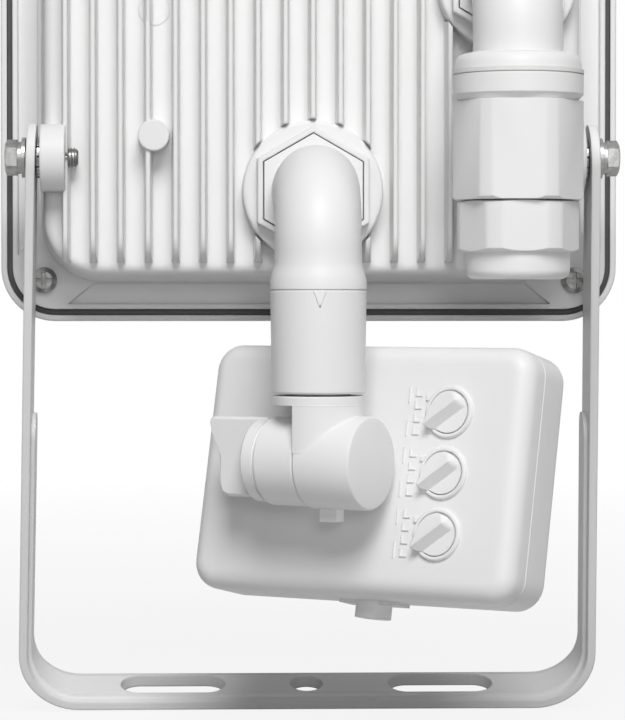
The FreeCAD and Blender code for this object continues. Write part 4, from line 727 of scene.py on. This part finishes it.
@dataclass
class Housing(Dressing):
    """The cast housing, the front frame and the corner screws."""

    body: str = "lamp"
    nodes: tuple[str, ...] = (
        "rear_housing",
        "front_frame",
        "corner_screw_low_right",
        "corner_screw_high_right",
        "corner_screw_low_left",
        "corner_screw_high_left",
    )
    rim: tuple[float, float, float, float, float] = (-71.5, 71.5, -36.8, 75.2, 12.5)
    # Insets and depths of the dark strip of painted shade in the gap between flange and frame.
    shade_strip_insets: tuple[float, float] = (1.5, 2.7)
    shade_strip_levels: tuple[float, float] = (24.1, 25.9)
    pin_side: float = 35.7
    pin_height: float = 33.4
    pin_radius: float = 3.5
    wall: float = 4.0
    fin_side: float = 36.96
    fin_root: float = 0.97
    fin_tip: float = 0.55
    fin_crest: float = -2.0
    reach: float = 0.05
    patch_lap: float = 0.1
    patch_deep: float = 0.8

    def painted_gap_shade(self) -> None:
        """A dark strip in the gap between the flange and the frame: painted shade where the gap's shadow
        falls.

        Its section is a rectangle that runs round the frame's outline moved inwards.
        """
        left, right, low, high, corner = self.rim
        rows = []
        outer, inner = self.shade_strip_insets
        front, back = self.shade_strip_levels
        for inset, level in ((outer, front), (outer, back), (inner, back), (inner, front)):
            sides = (left + inset, right - inset, low + inset, high - inset)
            rows.append(level_row(rounded_outline(*sides, corner - inset, steps=14), level))
        # Painted shade: a dark strip in the driver case's black fills the gap where only shadow falls.
        Shells(LAMP_SEAT).add(np.stack(rows), loop=True).build("gap_shade_strip", self.body, "driver_case")

    def smooth(self, node: str) -> bpy.types.Object:
        """Smooths a node, and takes the upper pin boss off the housing."""
        skin = super().smooth(node)
        if node == "rear_housing":
            self.open_pins(skin.data)
        return skin

    def open_pins(self, mesh: bpy.types.Mesh) -> None:
        """Removes the faces of the upper pin boss and closes the opening.

        A face goes when all its corners lie within the boss's radius of its axis and in front
        of the wall. Only the left boss shows: on the right the inlet's elbow stands before it.

        Args:
            mesh: the housing's skin.
        """
        points = np.empty(len(mesh.vertices) * 3)
        mesh.vertices.foreach_get("co", points)
        local = points.reshape(-1, 3) / MM - np.array(LAMP_SEAT.origin)
        away = np.hypot(np.abs(local[:, 0]) - self.pin_side, local[:, 2] - self.pin_height)
        near = (away < self.pin_radius + self.reach) & (local[:, 1] < self.wall + self.reach)
        corner = np.empty(len(mesh.loops), dtype=np.int32)
        mesh.loops.foreach_get("vertex_index", corner)
        start = np.empty(len(mesh.polygons), dtype=np.int32)
        mesh.polygons.foreach_get("loop_start", start)
        gone = np.flatnonzero(np.minimum.reduceat(near[corner].astype(np.int8), start))
        work = bmesh.new()
        work.from_mesh(mesh)
        work.faces.ensure_lookup_table()
        bmesh.ops.delete(work, geom=[work.faces[i] for i in gone], context="FACES")
        rim = [edge for edge in work.edges if edge.is_boundary]
        filled = bmesh.ops.holes_fill(work, edges=rim, sides=0)["faces"]
        bmesh.ops.triangulate(work, faces=filled)
        log.info("pin boss: %d faces off, %d put in", len(gone), len(filled))
        work.to_mesh(mesh)
        work.free()

    def patches(self) -> None:
        """The wall and the fin that run on where the upper pin boss was, and their mirror image.

        On the right the inlet's elbow and a fin stand before the patch, which doesn't show.
        """
        root, tip, crest = self.fin_root, self.fin_tip, self.fin_crest
        half = np.array(
            ((-root, self.wall + 0.5), (-tip, crest + 0.5), (-tip * 0.6, crest + 0.12), (0.0, crest))
        )
        outline = np.concatenate([half, (half * (-1, 1))[-2::-1]])
        reach = self.pin_radius + self.patch_lap
        face, deep = self.wall - HAIR, self.wall + self.patch_deep
        profile = [(face, HAIR), (face, reach), (deep, reach), (deep, HAIR)]
        shells = Shells(LAMP_SEAT)
        for sign in (-1.0, 1.0):
            shells.turned(profile, at=(sign * self.pin_side, self.pin_height), axis="Y", loop=False)
            across = outline + (sign * self.fin_side, 0)
            shells.prism(across, self.pin_height - reach, self.pin_height + reach)
        shells.build("fin_patches", self.body, "white_paint")

    def build(self) -> None:
        """Dresses the castings, lays the dark strip of painted gap shade and patches the wall."""
        super().build()
        # Painted shade in the gap between the flange and the frame.
        self.painted_gap_shade()
        self.patches()


@dataclass
class LightEngine(Dressing):
    """Glass, seal, reflector, board, chips and what drives them."""

    body: str = "lamp"
    nodes: tuple[str, ...] = (
        "front_glass",
        "glass_seal",
        "led_board",
        "led_chips",
        "reflector",
        "driver",
        "wire_terminals",
    )


@dataclass
class PivotHardware(Dressing):
    """Bolts and washers at both ears, with the threads that show inside them."""

    body: str = "lamp"
    nodes: tuple[str, ...] = (
        "pivot_bolt_right",
        "flat_washer_right",
        "spring_washer_right",
        "tooth_washer_right",
        "pivot_bolt_left",
        "flat_washer_left",
        "spring_washer_left",
        "tooth_washer_left",
    )
    thread_pitch: float = 0.7
    thread_high: float = 0.38
    thread_long: float = 2.4
    thread_start: float = 0.35
    thread_sunk: float = 0.25
    shank: float = 2.0
    core: float = 1.9
    steps_round: int = 36
    steps_a_turn: int = 10

    def thread(self, side: str, sign: float) -> None:
        """A short thread round a bolt's tip.

        The radius is the shank's plus a cosine of (distance over pitch less angle over a turn),
        which makes one start of a helix. A row inside the bolt closes each end.

        Args:
            side: "left" or "right".
            sign: -1 or 1, the side's direction along X.
        """
        low, high = (np.array(corner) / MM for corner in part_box("pivot_bolt_" + side))
        middle = (low + high) / 2
        tip = low[0] if sign > 0 else high[0]
        rows = int(self.thread_long / self.thread_pitch * self.steps_a_turn)
        along = np.linspace(self.thread_start, self.thread_long, rows)
        angle = np.linspace(0, 2 * np.pi, self.steps_round, endpoint=False)
        a, s = np.meshgrid(angle, along)
        wave = 0.5 + 0.5 * np.cos(2 * np.pi * s / self.thread_pitch - a)
        radius = self.shank + self.thread_high * (wave - self.thread_sunk)
        radius[[0, -1]] = self.core
        y = middle[1] + sign * radius * np.cos(a)
        z = middle[2] + radius * np.sin(a)
        shells = Shells(ROW_SEAT).add(np.stack([tip + sign * s, y, z], axis=-1), loop=True)
        shells.build("bolt_thread_" + side, self.body, "zinc_steel", sharp=40.0)

    def build(self) -> None:
        """Dresses the nodes and adds the threads."""
        super().build()
        for side, sign in (("right", 1.0), ("left", -1.0)):
            self.thread(side, sign)


@dataclass
class CableInlet(Dressing):
    """Elbow, collar, nut and seals of the cable inlet."""

    body: str = "lamp"
    nodes: tuple[str, ...] = ("inlet_elbow", "gland_o_ring", "coupling_collar", "gland_nut", "gland_seal")


@dataclass
class SensorArm(Dressing):
    """The arm's elbow and its sleeve with a small pointer mark."""

    body: str = "lamp"
    nodes: tuple[str, ...] = ("arm_elbow",)
    sleeve_top: float = 97.26
    sleeve_low: float = 75.16
    sleeve_radius: float = 10.3
    sleeve_low_radius: float = 9.95
    sleeve_bore: float = 7.08
    sleeve_lip: float = 0.35
    mark_half: float = 1.3
    mark_high: float = 3.4
    mark_line: float = 0.45
    mark_raised: float = 0.22
    mark_below_top: float = 0.25
    mark_points: int = 12
    mark_across: tuple[float, ...] = (-1.0, -0.6, 0.0, 0.6, 1.0, 0.6, -0.6)
    mark_rise: tuple[float, ...] = (0.0, 0.85, 1.0, 0.85, 0.0, -1.0, -1.0)

    def mark(self) -> None:
        """The V on the sleeve's front.

        Two straight strokes meet at the V's foot. Each carries a small round-topped profile,
        and every point is laid on the sleeve's cone at its own height.
        """
        n = self.mark_points
        strokes = np.concatenate([np.linspace(0, 1, n), np.linspace(1, 2, n)[1:]])
        px = np.interp(strokes, [0, 1, 2], [-self.mark_half, 0.0, self.mark_half])
        pz = np.interp(strokes, [0, 1, 2], [0.0, -self.mark_high, 0.0])
        pz += self.sleeve_top - self.mark_below_top
        across = np.array(self.mark_across) * self.mark_line / 2
        rise = np.array(self.mark_rise) * self.mark_raised
        x = px[:, None] + across[None, :]
        z = np.repeat(pz[:, None], len(across), axis=1)
        share = (self.sleeve_top - z) / (self.sleeve_top - self.sleeve_low)
        taper = self.sleeve_low_radius - self.sleeve_radius
        radius = self.sleeve_radius + taper * share + rise[None, :]
        angle = x / self.sleeve_radius
        points = np.stack([radius * np.sin(angle), -radius * np.cos(angle), z], axis=-1)
        Shells(ARM_SEAT).add(points).build("sleeve_mark", self.body, "white_plastic", sharp=180.0)

    def sleeve(self) -> None:
        """The sleeve: a slightly tapered tube with a small lip at both ends."""
        lip = self.sleeve_lip
        Shells(ARM_SEAT).turned(
            [
                (self.sleeve_low, self.sleeve_bore),
                (self.sleeve_low, self.sleeve_low_radius - lip),
                (self.sleeve_low + lip, self.sleeve_low_radius),
                (self.sleeve_top - lip, self.sleeve_radius),
                (self.sleeve_top, self.sleeve_radius - lip),
                (self.sleeve_top, self.sleeve_bore),
            ],
            axis="Z",
            count=96,
        ).build("sleeve", self.body, "white_plastic", ("arm_sleeve",))

    def build(self) -> None:
        """Dresses the elbow and makes the sleeve with its mark."""
        super().build()
        self.sleeve()
        self.mark()


@dataclass
class Knuckle:
    """The fork under the sleeve: a collar disc, half a column, and a barrel across it."""

    body: str = "knuckle"
    split: float = -0.6
    end: float = 13.4
    radius: float = 9.95
    bore: float = 2.1
    bore_end: float = 6.3
    edge: float = 0.8
    edge_step: float = 0.3
    lap: float = 0.1
    split_edge: float = 0.3
    disc_edge: float = 0.2
    column: float = 9.75
    column_low: float = 2.2
    disc_low: float = 12.2
    disc_top: float = 14.2
    spigot: float = 6.95
    spigot_top: float = 24.0
    stop: tuple[float, float, float] = (1.2, 5.4, 1.6)
    stop_drop: float = 2.7
    stop_sunk: float = 0.6

    def build(self) -> None:
        """Turns the barrel and the disc, and stands the half column between them.

        The column's outline is the part of its circle to the right of the split.
        """
        start = math.acos(self.split / self.column)
        a = np.linspace(-start, start, 60)
        half = self.column * np.stack([np.cos(a), np.sin(a)], axis=1)
        shells = Shells(KNUCKLE_SEAT)
        shells.turned(
            [
                (self.bore_end, HAIR),
                (self.bore_end, self.bore),
                (self.split, self.bore),
                (self.split, self.radius - self.split_edge),
                (self.split + self.split_edge, self.radius),
                (self.end - self.edge, self.radius),
                (self.end - self.edge * self.edge_step, self.radius - self.edge * self.edge_step),
                (self.end, self.radius - self.edge),
                (self.end, HAIR),
            ],
            count=96,
            loop=False,
        )
        shells.prism(half, self.column_low, self.disc_low + self.lap)
        shells.turned(
            [
                (self.disc_low, HAIR),
                (self.disc_low, self.column),
                (self.disc_top - self.disc_edge, self.column),
                (self.disc_top, self.column - self.disc_edge),
                (self.disc_top, self.spigot),
                (self.spigot_top, self.spigot),
                (self.spigot_top, HAIR),
            ],
            axis="Z",
            count=96,
            loop=False,
        )
        left, right, deep = self.stop
        foot = (left, -deep, -self.radius - self.stop_drop)
        shells.box(foot, (right, deep, -self.radius + self.stop_sunk))
        shells.build("fork", self.body, "white_plastic", ("knuckle_fork",))


@dataclass
class WingKnob:
    """The clamp screw with a round collar and a dished wing."""

    body: str = "wing"
    collar: tuple[float, float] = (-14.5, -11.0)
    collar_radius: float = 8.9
    collar_step: float = 0.4
    screw: float = 1.95
    screw_end: float = 6.0
    half_thick: float = 1.5
    edge: float = 0.6
    top: float = 9.3
    low: float = -8.0
    groove: float = 0.7
    dish: tuple[tuple[float, float], ...] = (
        (8.6, -27.0), (6.5, -26.7), (4.5, -26.0), (2.5, -25.1), (0.5, -24.6),
        (-2.0, -24.4), (-4.5, -24.4), (-6.0, -24.2), (-7.2, -23.7),
    )

    def outline(self) -> np.ndarray:
        """The wing's edge: a straight top and bottom, and a hollow end through named points."""
        middle = [(x, z) for z, x in self.dish]
        top = [(-12.0, self.top), (-18.0, self.top), (-25.6, self.top), (-26.6, self.top - 0.2)]
        low = [(-22.9, self.low + 0.2), (-22.0, self.low), (-18.0, self.low), (-12.0, self.low)]
        return np.array(top + middle + low)

    def build(self) -> None:
        """Makes the plate, the collar and the screw.

        The plate's rows shrink towards its two faces, which bevels its rim.
        """
        outline = self.outline()
        away = outline - outline.mean(0)
        away /= np.linalg.norm(away, axis=1, keepdims=True)
        steps = [(-self.half_thick, 1.0), (-self.half_thick + self.edge, 0.0)]
        steps += [(self.half_thick - self.edge, 0.0), (self.half_thick, 1.0)]
        rows = [level_row(outline - away * self.edge * shrink, level) for level, shrink in steps]
        left, right = self.collar
        step = self.collar_step
        shells = Shells(KNUCKLE_SEAT).add(np.stack(rows))
        shells.turned(
            [
                (left, HAIR),
                (left, self.collar_radius - step),
                (left + step, self.collar_radius),
                (right - self.groove, self.collar_radius),
                (right - self.groove, self.collar_radius - step),
                (right, self.collar_radius - step),
                (right, self.screw),
                (self.screw_end, self.screw),
                (self.screw_end, HAIR),
            ],
            count=80,
            loop=False,
        )
        shells.build("wing", self.body, "white_plastic", ("wing_knob",))


@dataclass
class SensorHead(Dressing):
    """The sensor: a rear cover with the knuckle's lug, a front shell, lens and inner parts."""

    body: str = "head"
    nodes: tuple[str, ...] = (
        "sensor_lens",
        "sensor_board",
        "pyro_sensor",
        "trimmer_low",
        "trimmer_middle",
        "trimmer_top",
        "bottom_cap",
    )
    left: float = -38.2
    right: float = 42.35
    low: float = -26.9
    high: float = 28.2
    corner: float = 6.0
    corner_least: float = 0.6
    back: float = 12.0
    parting: float = 19.0
    front: float = 30.0
    back_round: float = 4.0
    front_round: float = 3.0
    wall: float = 2.0
    floor: float = 14.6
    seam: float = 0.03
    seam_edge: float = 0.2
    seam_run: float = 0.25
    face_inset: float = 1.2
    lens_at: tuple[float, float] = (3.4, 0.9)
    lens_hole: float = 19.2
    lug: tuple[float, float] = (-10.7, -0.9)
    lug_radius: float = 9.55
    lug_bore: float = 2.1
    lug_edge: float = 0.3
    neck_half: float = 7.0
    neck_from: float = 3.0
    dial_x: float = 24.0
    dial_z: tuple[float, ...] = (-13.0, 0.2, 13.4)
    ring_inner: float = 4.78
    ring_outer: float = 5.65
    ring_high: float = 0.75
    ring_edge: float = 0.15
    ring_slope: float = 0.25
    sunk: float = 0.1
    mark_high: float = 0.25
    mark_left: float = 10.2
    mark_half: float = 0.12
    mark_line: float = 0.3
    mark_reach: tuple[float, float] = (1.9, 5.4)
    tick_heights: tuple[float, ...] = (-4.2, -1.4, 1.4, 4.2)
    tick_span: tuple[float, float] = (1.5, 3.2)
    tab_turn: float = 150.0
    tab_out: float = 0.35
    tab_half: tuple[float, float] = (0.7, 0.6)
    tab_more: float = 0.2

    def outline(self, inset: float) -> np.ndarray:
        """The head's outline, moved inwards."""
        corner = max(self.corner - inset, self.corner_least)
        return rounded_outline(
            self.left + inset, self.right - inset, self.low + inset, self.high - inset, corner
        )

    def row(self, inset: float, level: float) -> np.ndarray:
        """The head's outline, moved inwards, at one depth."""
        return level_row(self.outline(inset), level)

    def cover(self) -> None:
        """The rear cover: quarter-round back edge, straight side, hollow inside, and the lug.

        Along the back edge the inset is r (1 - sin a) and the depth r (1 - cos a), for a from
        0 to a quarter turn.
        """
        r = self.back_round
        joint = self.parting - self.seam
        rows = [self.row(r + self.face_inset, self.back)]
        for a in np.linspace(0, np.pi / 2, 9):
            rows.append(self.row(r * (1 - math.sin(a)), self.back + r * (1 - math.cos(a))))
        rows.append(self.row(0.0, self.parting - self.seam_run))
        rows.append(self.row(self.seam_edge, joint))
        rows.append(self.row(self.wall, joint))
        rows.append(self.row(self.wall, self.floor))
        shells = Shells(HEAD_SEAT).add(np.stack(rows))
        low, high = self.lug
        edge = self.lug_edge
        shells.turned(
            [
                (low, self.lug_bore),
                (low, self.lug_radius - edge),
                (low + edge, self.lug_radius),
                (high - edge, self.lug_radius),
                (high, self.lug_radius - edge),
                (high, self.lug_bore),
            ],
            count=96,
        )
        neck_low = (low + 0.1, self.neck_from, -self.neck_half)
        shells.box(neck_low, (high - 0.1, self.back + 0.5, self.neck_half))
        for z in self.dial_z:
            top = self.back - self.ring_high
            shells.turned(
                [
                    (self.back + self.sunk, self.ring_inner),
                    (top + self.ring_edge, self.ring_inner),
                    (top, self.ring_inner + self.ring_edge),
                    (top, self.ring_outer - self.ring_slope),
                    (top + self.ring_slope, self.ring_outer),
                    (self.back + self.sunk, self.ring_outer + self.sunk),
                ],
                at=(self.dial_x, z),
                axis="Y",
                count=72,
            )
        shells.build("rear_cover", self.body, "white_plastic", ("sensor_rear_cover",))

    def shell(self) -> None:
        """The front shell, open for the lens.

        The front face runs from the outline to the lens hole: each outline point goes straight
        to the point of the hole's circle at its own angle about the lens.
        """
        r = self.front_round
        centre = np.array(self.lens_at)
        away = self.outline(r) - centre
        hole = centre + away / np.linalg.norm(away, axis=1, keepdims=True) * self.lens_hole
        joint = self.parting + self.seam
        rows = [self.row(self.wall, joint), self.row(self.seam_edge, joint)]
        rows.append(self.row(0.0, self.parting + self.seam_run))
        for a in np.linspace(np.pi / 2, 0, 8):
            rows.append(self.row(r * (1 - math.sin(a)), self.front - r * (1 - math.cos(a))))
        rows.append(level_row(hole, self.front))
        rows.append(level_row(hole, self.front - self.wall))
        rows.append(self.row(self.wall, self.front - self.wall))
        Shells(HEAD_SEAT).add(np.stack(rows), loop=True).build(
            "front_shell", self.body, "white_plastic", ("sensor_front_shell",)
        )

    def marks(self) -> None:
        """Plain scale marks beside each dial: two short lines, four angled ticks and a tab."""
        shells = Shells(HEAD_SEAT)
        top, under = self.back - self.mark_high, self.back + self.sunk
        line = self.mark_line
        near, far = self.mark_reach
        turned = math.radians(self.tab_turn)
        out = self.ring_outer + self.tab_out
        start, end = self.tick_span
        wide, tall = self.tab_half
        for z in self.dial_z:
            x = self.dial_x - self.mark_left
            for low, high in ((z - far, z - near), (z + near, z + far)):
                shells.box((x - self.mark_half, top, low), (x + self.mark_half, under, high))
            for step in self.tick_heights:
                foot = z + step - 2 * line
                shells.box((x + start, top, foot - line), (x + end, under, foot))
                shells.box((x + start, top, foot), (x + start + line, under, foot + 5 * line))
            u, v = self.dial_x + out * math.cos(turned), z + out * math.sin(turned)
            shells.box((u - wide, top - self.tab_more, v - tall), (u + wide, under, v + tall))
        shells.build("scale_marks", self.body, "white_plastic")

    def build(self) -> None:
        """Makes the shells and marks, and dresses the rest."""
        super().build()
        self.cover()
        self.shell()
        self.marks()


@dataclass
class Dial:
    """One turning knob: a low disc with a wedge on it, whose crest is the pointer."""

    place: str = "middle"
    radius: float = 4.6
    under: float = 0.02
    disc: float = 0.75
    crest: float = 2.9
    crest_at: float = -0.3
    wall_foot: float = 1.35
    slope_from: float = -4.3
    tip: float = 5.7
    tip_half: float = 1.5
    tip_curve: float = 0.55
    tip_low: float = 0.95
    tip_shift: float = 0.2
    chord_least: float = 0.02
    back_share: float = 0.97
    fade_long: float = 1.2
    thin: float = 0.05
    points_along: int = 25
    pointing: float = 217.0

    def build(self) -> None:
        """Makes the knob from a grid over its disc, closed by the same grid laid low.

        v runs across the pointer and u along it. Each row of one v runs from minus to plus the
        half chord sqrt(r^2 - v^2), or to the tip's reach near the pointer. The height is the
        disc's, plus a ramp that rises slowly with v to the crest and drops steeply beyond it.
        """
        across = [-4.59, -4.5, self.slope_from, -3.4, -2.6, -1.9, -1.3, -0.9, -0.6]
        across += [self.crest_at, 0.1, 0.5, 0.95, self.wall_foot, 1.9, 2.8, 3.6, 4.2, 4.5, 4.59]
        v = np.array(across)
        chord = np.sqrt(np.clip(self.radius**2 - v**2, self.chord_least, None))
        middle = self.crest_at + self.tip_shift
        reach = self.tip - (v - middle) ** 2 * self.tip_curve
        pointed = np.abs(v - middle) < self.tip_half
        far = np.where(pointed, np.maximum(reach, chord), chord)
        up = (v - self.slope_from) / (self.crest_at - self.slope_from)
        down = (self.wall_foot - v) / (self.wall_foot - self.crest_at)
        ramp = np.clip(np.minimum(up, down), 0, 1)
        high = self.disc + (self.crest - self.disc) * ramp
        share = np.linspace(0, 1, self.points_along)
        u = -chord[:, None] * self.back_share * (1 - share) + far[:, None] * share
        vv = np.repeat(v[:, None], self.points_along, axis=1)
        fade = np.clip((u + self.radius) / self.fade_long, 0.0, 1.0)
        hh = self.disc + (high[:, None] - self.disc) * fade
        floor = np.where(u > self.radius, self.tip_low, self.under)
        top = np.stack([u, vv, hh], axis=-1)
        low = np.stack([u, vv, np.minimum(floor, hh - self.thin)], axis=-1)
        rows = np.concatenate([top, low[:, ::-1]], axis=1)
        a = math.radians(self.pointing)
        x = rows[..., 0] * math.cos(a) - rows[..., 1] * math.sin(a)
        z = rows[..., 0] * math.sin(a) + rows[..., 1] * math.cos(a)
        head = SensorHead()
        level = head.dial_z[("low", "middle", "top").index(self.place)]
        y = head.back - rows[..., 2]
        local = np.stack([x + head.dial_x, y, z + level], axis=-1)
        name = "dial_" + self.place
        Shells(HEAD_SEAT).add(local).build("knob_" + self.place, name, "white_plastic", (name,))


@dataclass
class Studio:
    """Floor, world, lamps and camera."""

    eye: tuple[float, float, float] = (-22.7, -726.2, 95.9)
    aim: tuple[float, float, float] = (-0.1, -46.2, 81.5)
    lens: float = 151.3
    sensor: float = 36.0
    floor_half: float = 3000.0
    floor_tone: float = 0.5
    floor_white: float = 0.88
    floor_near: float = 0.2
    floor_far: float = 0.9
    floor_below: float = 0.5
    floor_rough: float = 0.8
    nearest: float = 0.01
    world_light: float = 0.09
    middle: tuple[float, float, float] = (0.0, -50.0, 90.0)
    lamps: list[tuple[str, tuple[float, float, float], float, float]] = field(
        default_factory=lambda: [
            ("key", (40.0, -950.0, 980.0), 560.0, 12.8),
            ("front_fill", (90.0, -1500.0, 380.0), 300.0, 2.3),
        ]
    )

    def camera(self) -> None:
        """Puts the camera where the photograph was taken from."""
        data = bpy.data.cameras.new("camera")
        data.lens = self.lens
        data.sensor_width = self.sensor
        data.clip_start = self.nearest
        item = bpy.data.objects.new("camera", data)
        bpy.context.scene.collection.objects.link(item)
        eye = Vector(self.eye) * MM
        item.location = eye
        item.rotation_euler = (Vector(self.aim) * MM - eye).to_track_quat("-Z", "Y").to_euler()
        bpy.context.scene.camera = item

    def lamp(self, name: str, place: tuple[float, float, float], size: float, watts: float) -> None:
        """Hangs a square soft lamp that faces the object.

        Args:
            name: the lamp's name.
            place: in millimetres.
            size: the square's side in millimetres.
            watts: its power.
        """
        data = bpy.data.lights.new(name, "AREA")
        data.size = size * MM
        data.energy = watts
        item = bpy.data.objects.new(name, data)
        bpy.context.scene.collection.objects.link(item)
        item.location = Vector(place) * MM
        item.rotation_euler = (Vector(self.middle) * MM - item.location).to_track_quat("-Z", "Y").to_euler()

    @staticmethod
    def _seen(tree: bpy.types.NodeTree) -> bpy.types.NodeSocket:
        """1 for camera, glossy and transmission rays."""
        path = tree.nodes.new("ShaderNodeLightPath")
        total = path.outputs["Is Camera Ray"]
        for word in ("Is Glossy Ray", "Is Transmission Ray"):
            add = tree.nodes.new("ShaderNodeMath")
            add.operation = "MAXIMUM"
            tree.links.new(total, add.inputs[0])
            tree.links.new(path.outputs[word], add.inputs[1])
            total = add.outputs[0]
        return total

    def world(self) -> None:
        """A white background that lights the object less than it looks."""
        world = bpy.data.worlds.new("studio")
        bpy.context.scene.world = world
        world.use_nodes = True
        tree = world.node_tree
        tree.nodes.clear()
        out = tree.nodes.new("ShaderNodeOutputWorld")
        mix = tree.nodes.new("ShaderNodeMixShader")
        light = tree.nodes.new("ShaderNodeBackground")
        seen = tree.nodes.new("ShaderNodeBackground")
        light.inputs["Color"].default_value = (1, 1, 1, 1)
        light.inputs["Strength"].default_value = self.world_light
        seen.inputs["Color"].default_value = (1, 1, 1, 1)
        seen.inputs["Strength"].default_value = 1.0
        tree.links.new(self._seen(tree), mix.inputs[0])
        tree.links.new(light.outputs[0], mix.inputs[1])
        tree.links.new(seen.outputs[0], mix.inputs[2])
        tree.links.new(mix.outputs[0], out.inputs[0])

    def floor(self) -> None:
        """A pale floor just under the object, which fades into the white background far away.

        The white share rises with the distance from the object, from floor_white to 1.
        """
        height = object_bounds()[0][2] - self.floor_below * MM
        half = self.floor_half * MM
        mesh = bpy.data.meshes.new("floor")
        corners = [(-half, -half, height), (half, -half, height), (half, half, height), (-half, half, height)]
        mesh.from_pydata(corners, [], [(0, 1, 2, 3)])
        item = bpy.data.objects.new("floor", mesh)
        bpy.context.scene.collection.objects.link(item)
        shader = Shader("floor")
        tone = (self.floor_tone,) * 3
        shader.feed(shader.bsdf.inputs["Base Color"], tone)
        shader.feed(shader.bsdf.inputs["Roughness"], self.floor_rough)
        white = shader.node("ShaderNodeEmission", {}, {"Color": (1.0, 1.0, 1.0), "Strength": 1.0})
        away = shader.value("ShaderNodeVectorMath", {"operation": "LENGTH"}, {0: shader.place()}, "Value")
        fade = shader.ramp(away, [(self.floor_near, self.floor_white), (self.floor_far, 1.0)])
        seen = Value(shader, self._seen(shader.tree)) * fade
        both = {0: seen, 1: shader.bsdf.outputs[0], 2: white.outputs[0]}
        mixed = shader.node("ShaderNodeMixShader", {}, both)
        shader.tree.links.new(mixed.outputs[0], shader.output.inputs[0])
        mesh.materials.append(shader.material)
        item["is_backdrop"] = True

    def build(self) -> None:
        """Sets the whole stage."""
        bpy.context.scene.view_settings.view_transform = "Standard"
        self.camera()
        self.world()
        self.floor()
        for name, place, size, watts in self.lamps:
            self.lamp(name, place, size, watts)
        log.info("studio ready")


def main() -> None:
    """Builds every sub-assembly in order."""
    logging.basicConfig(level=logging.INFO, format="%(message)s")
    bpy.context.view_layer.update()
    assemblies: list[Any] = [
        Bracket(),
        Housing(),
        LightEngine(),
        PivotHardware(),
        CableInlet(),
        SensorArm(),
        Knuckle(),
        WingKnob(),
        SensorHead(),
        Dial(place="low"),
        Dial(place="middle"),
        Dial(place="top"),
    ]
    for assembly in assemblies:
        assembly.build()
    Studio().build()


if __name__ == "__main__":
    main()
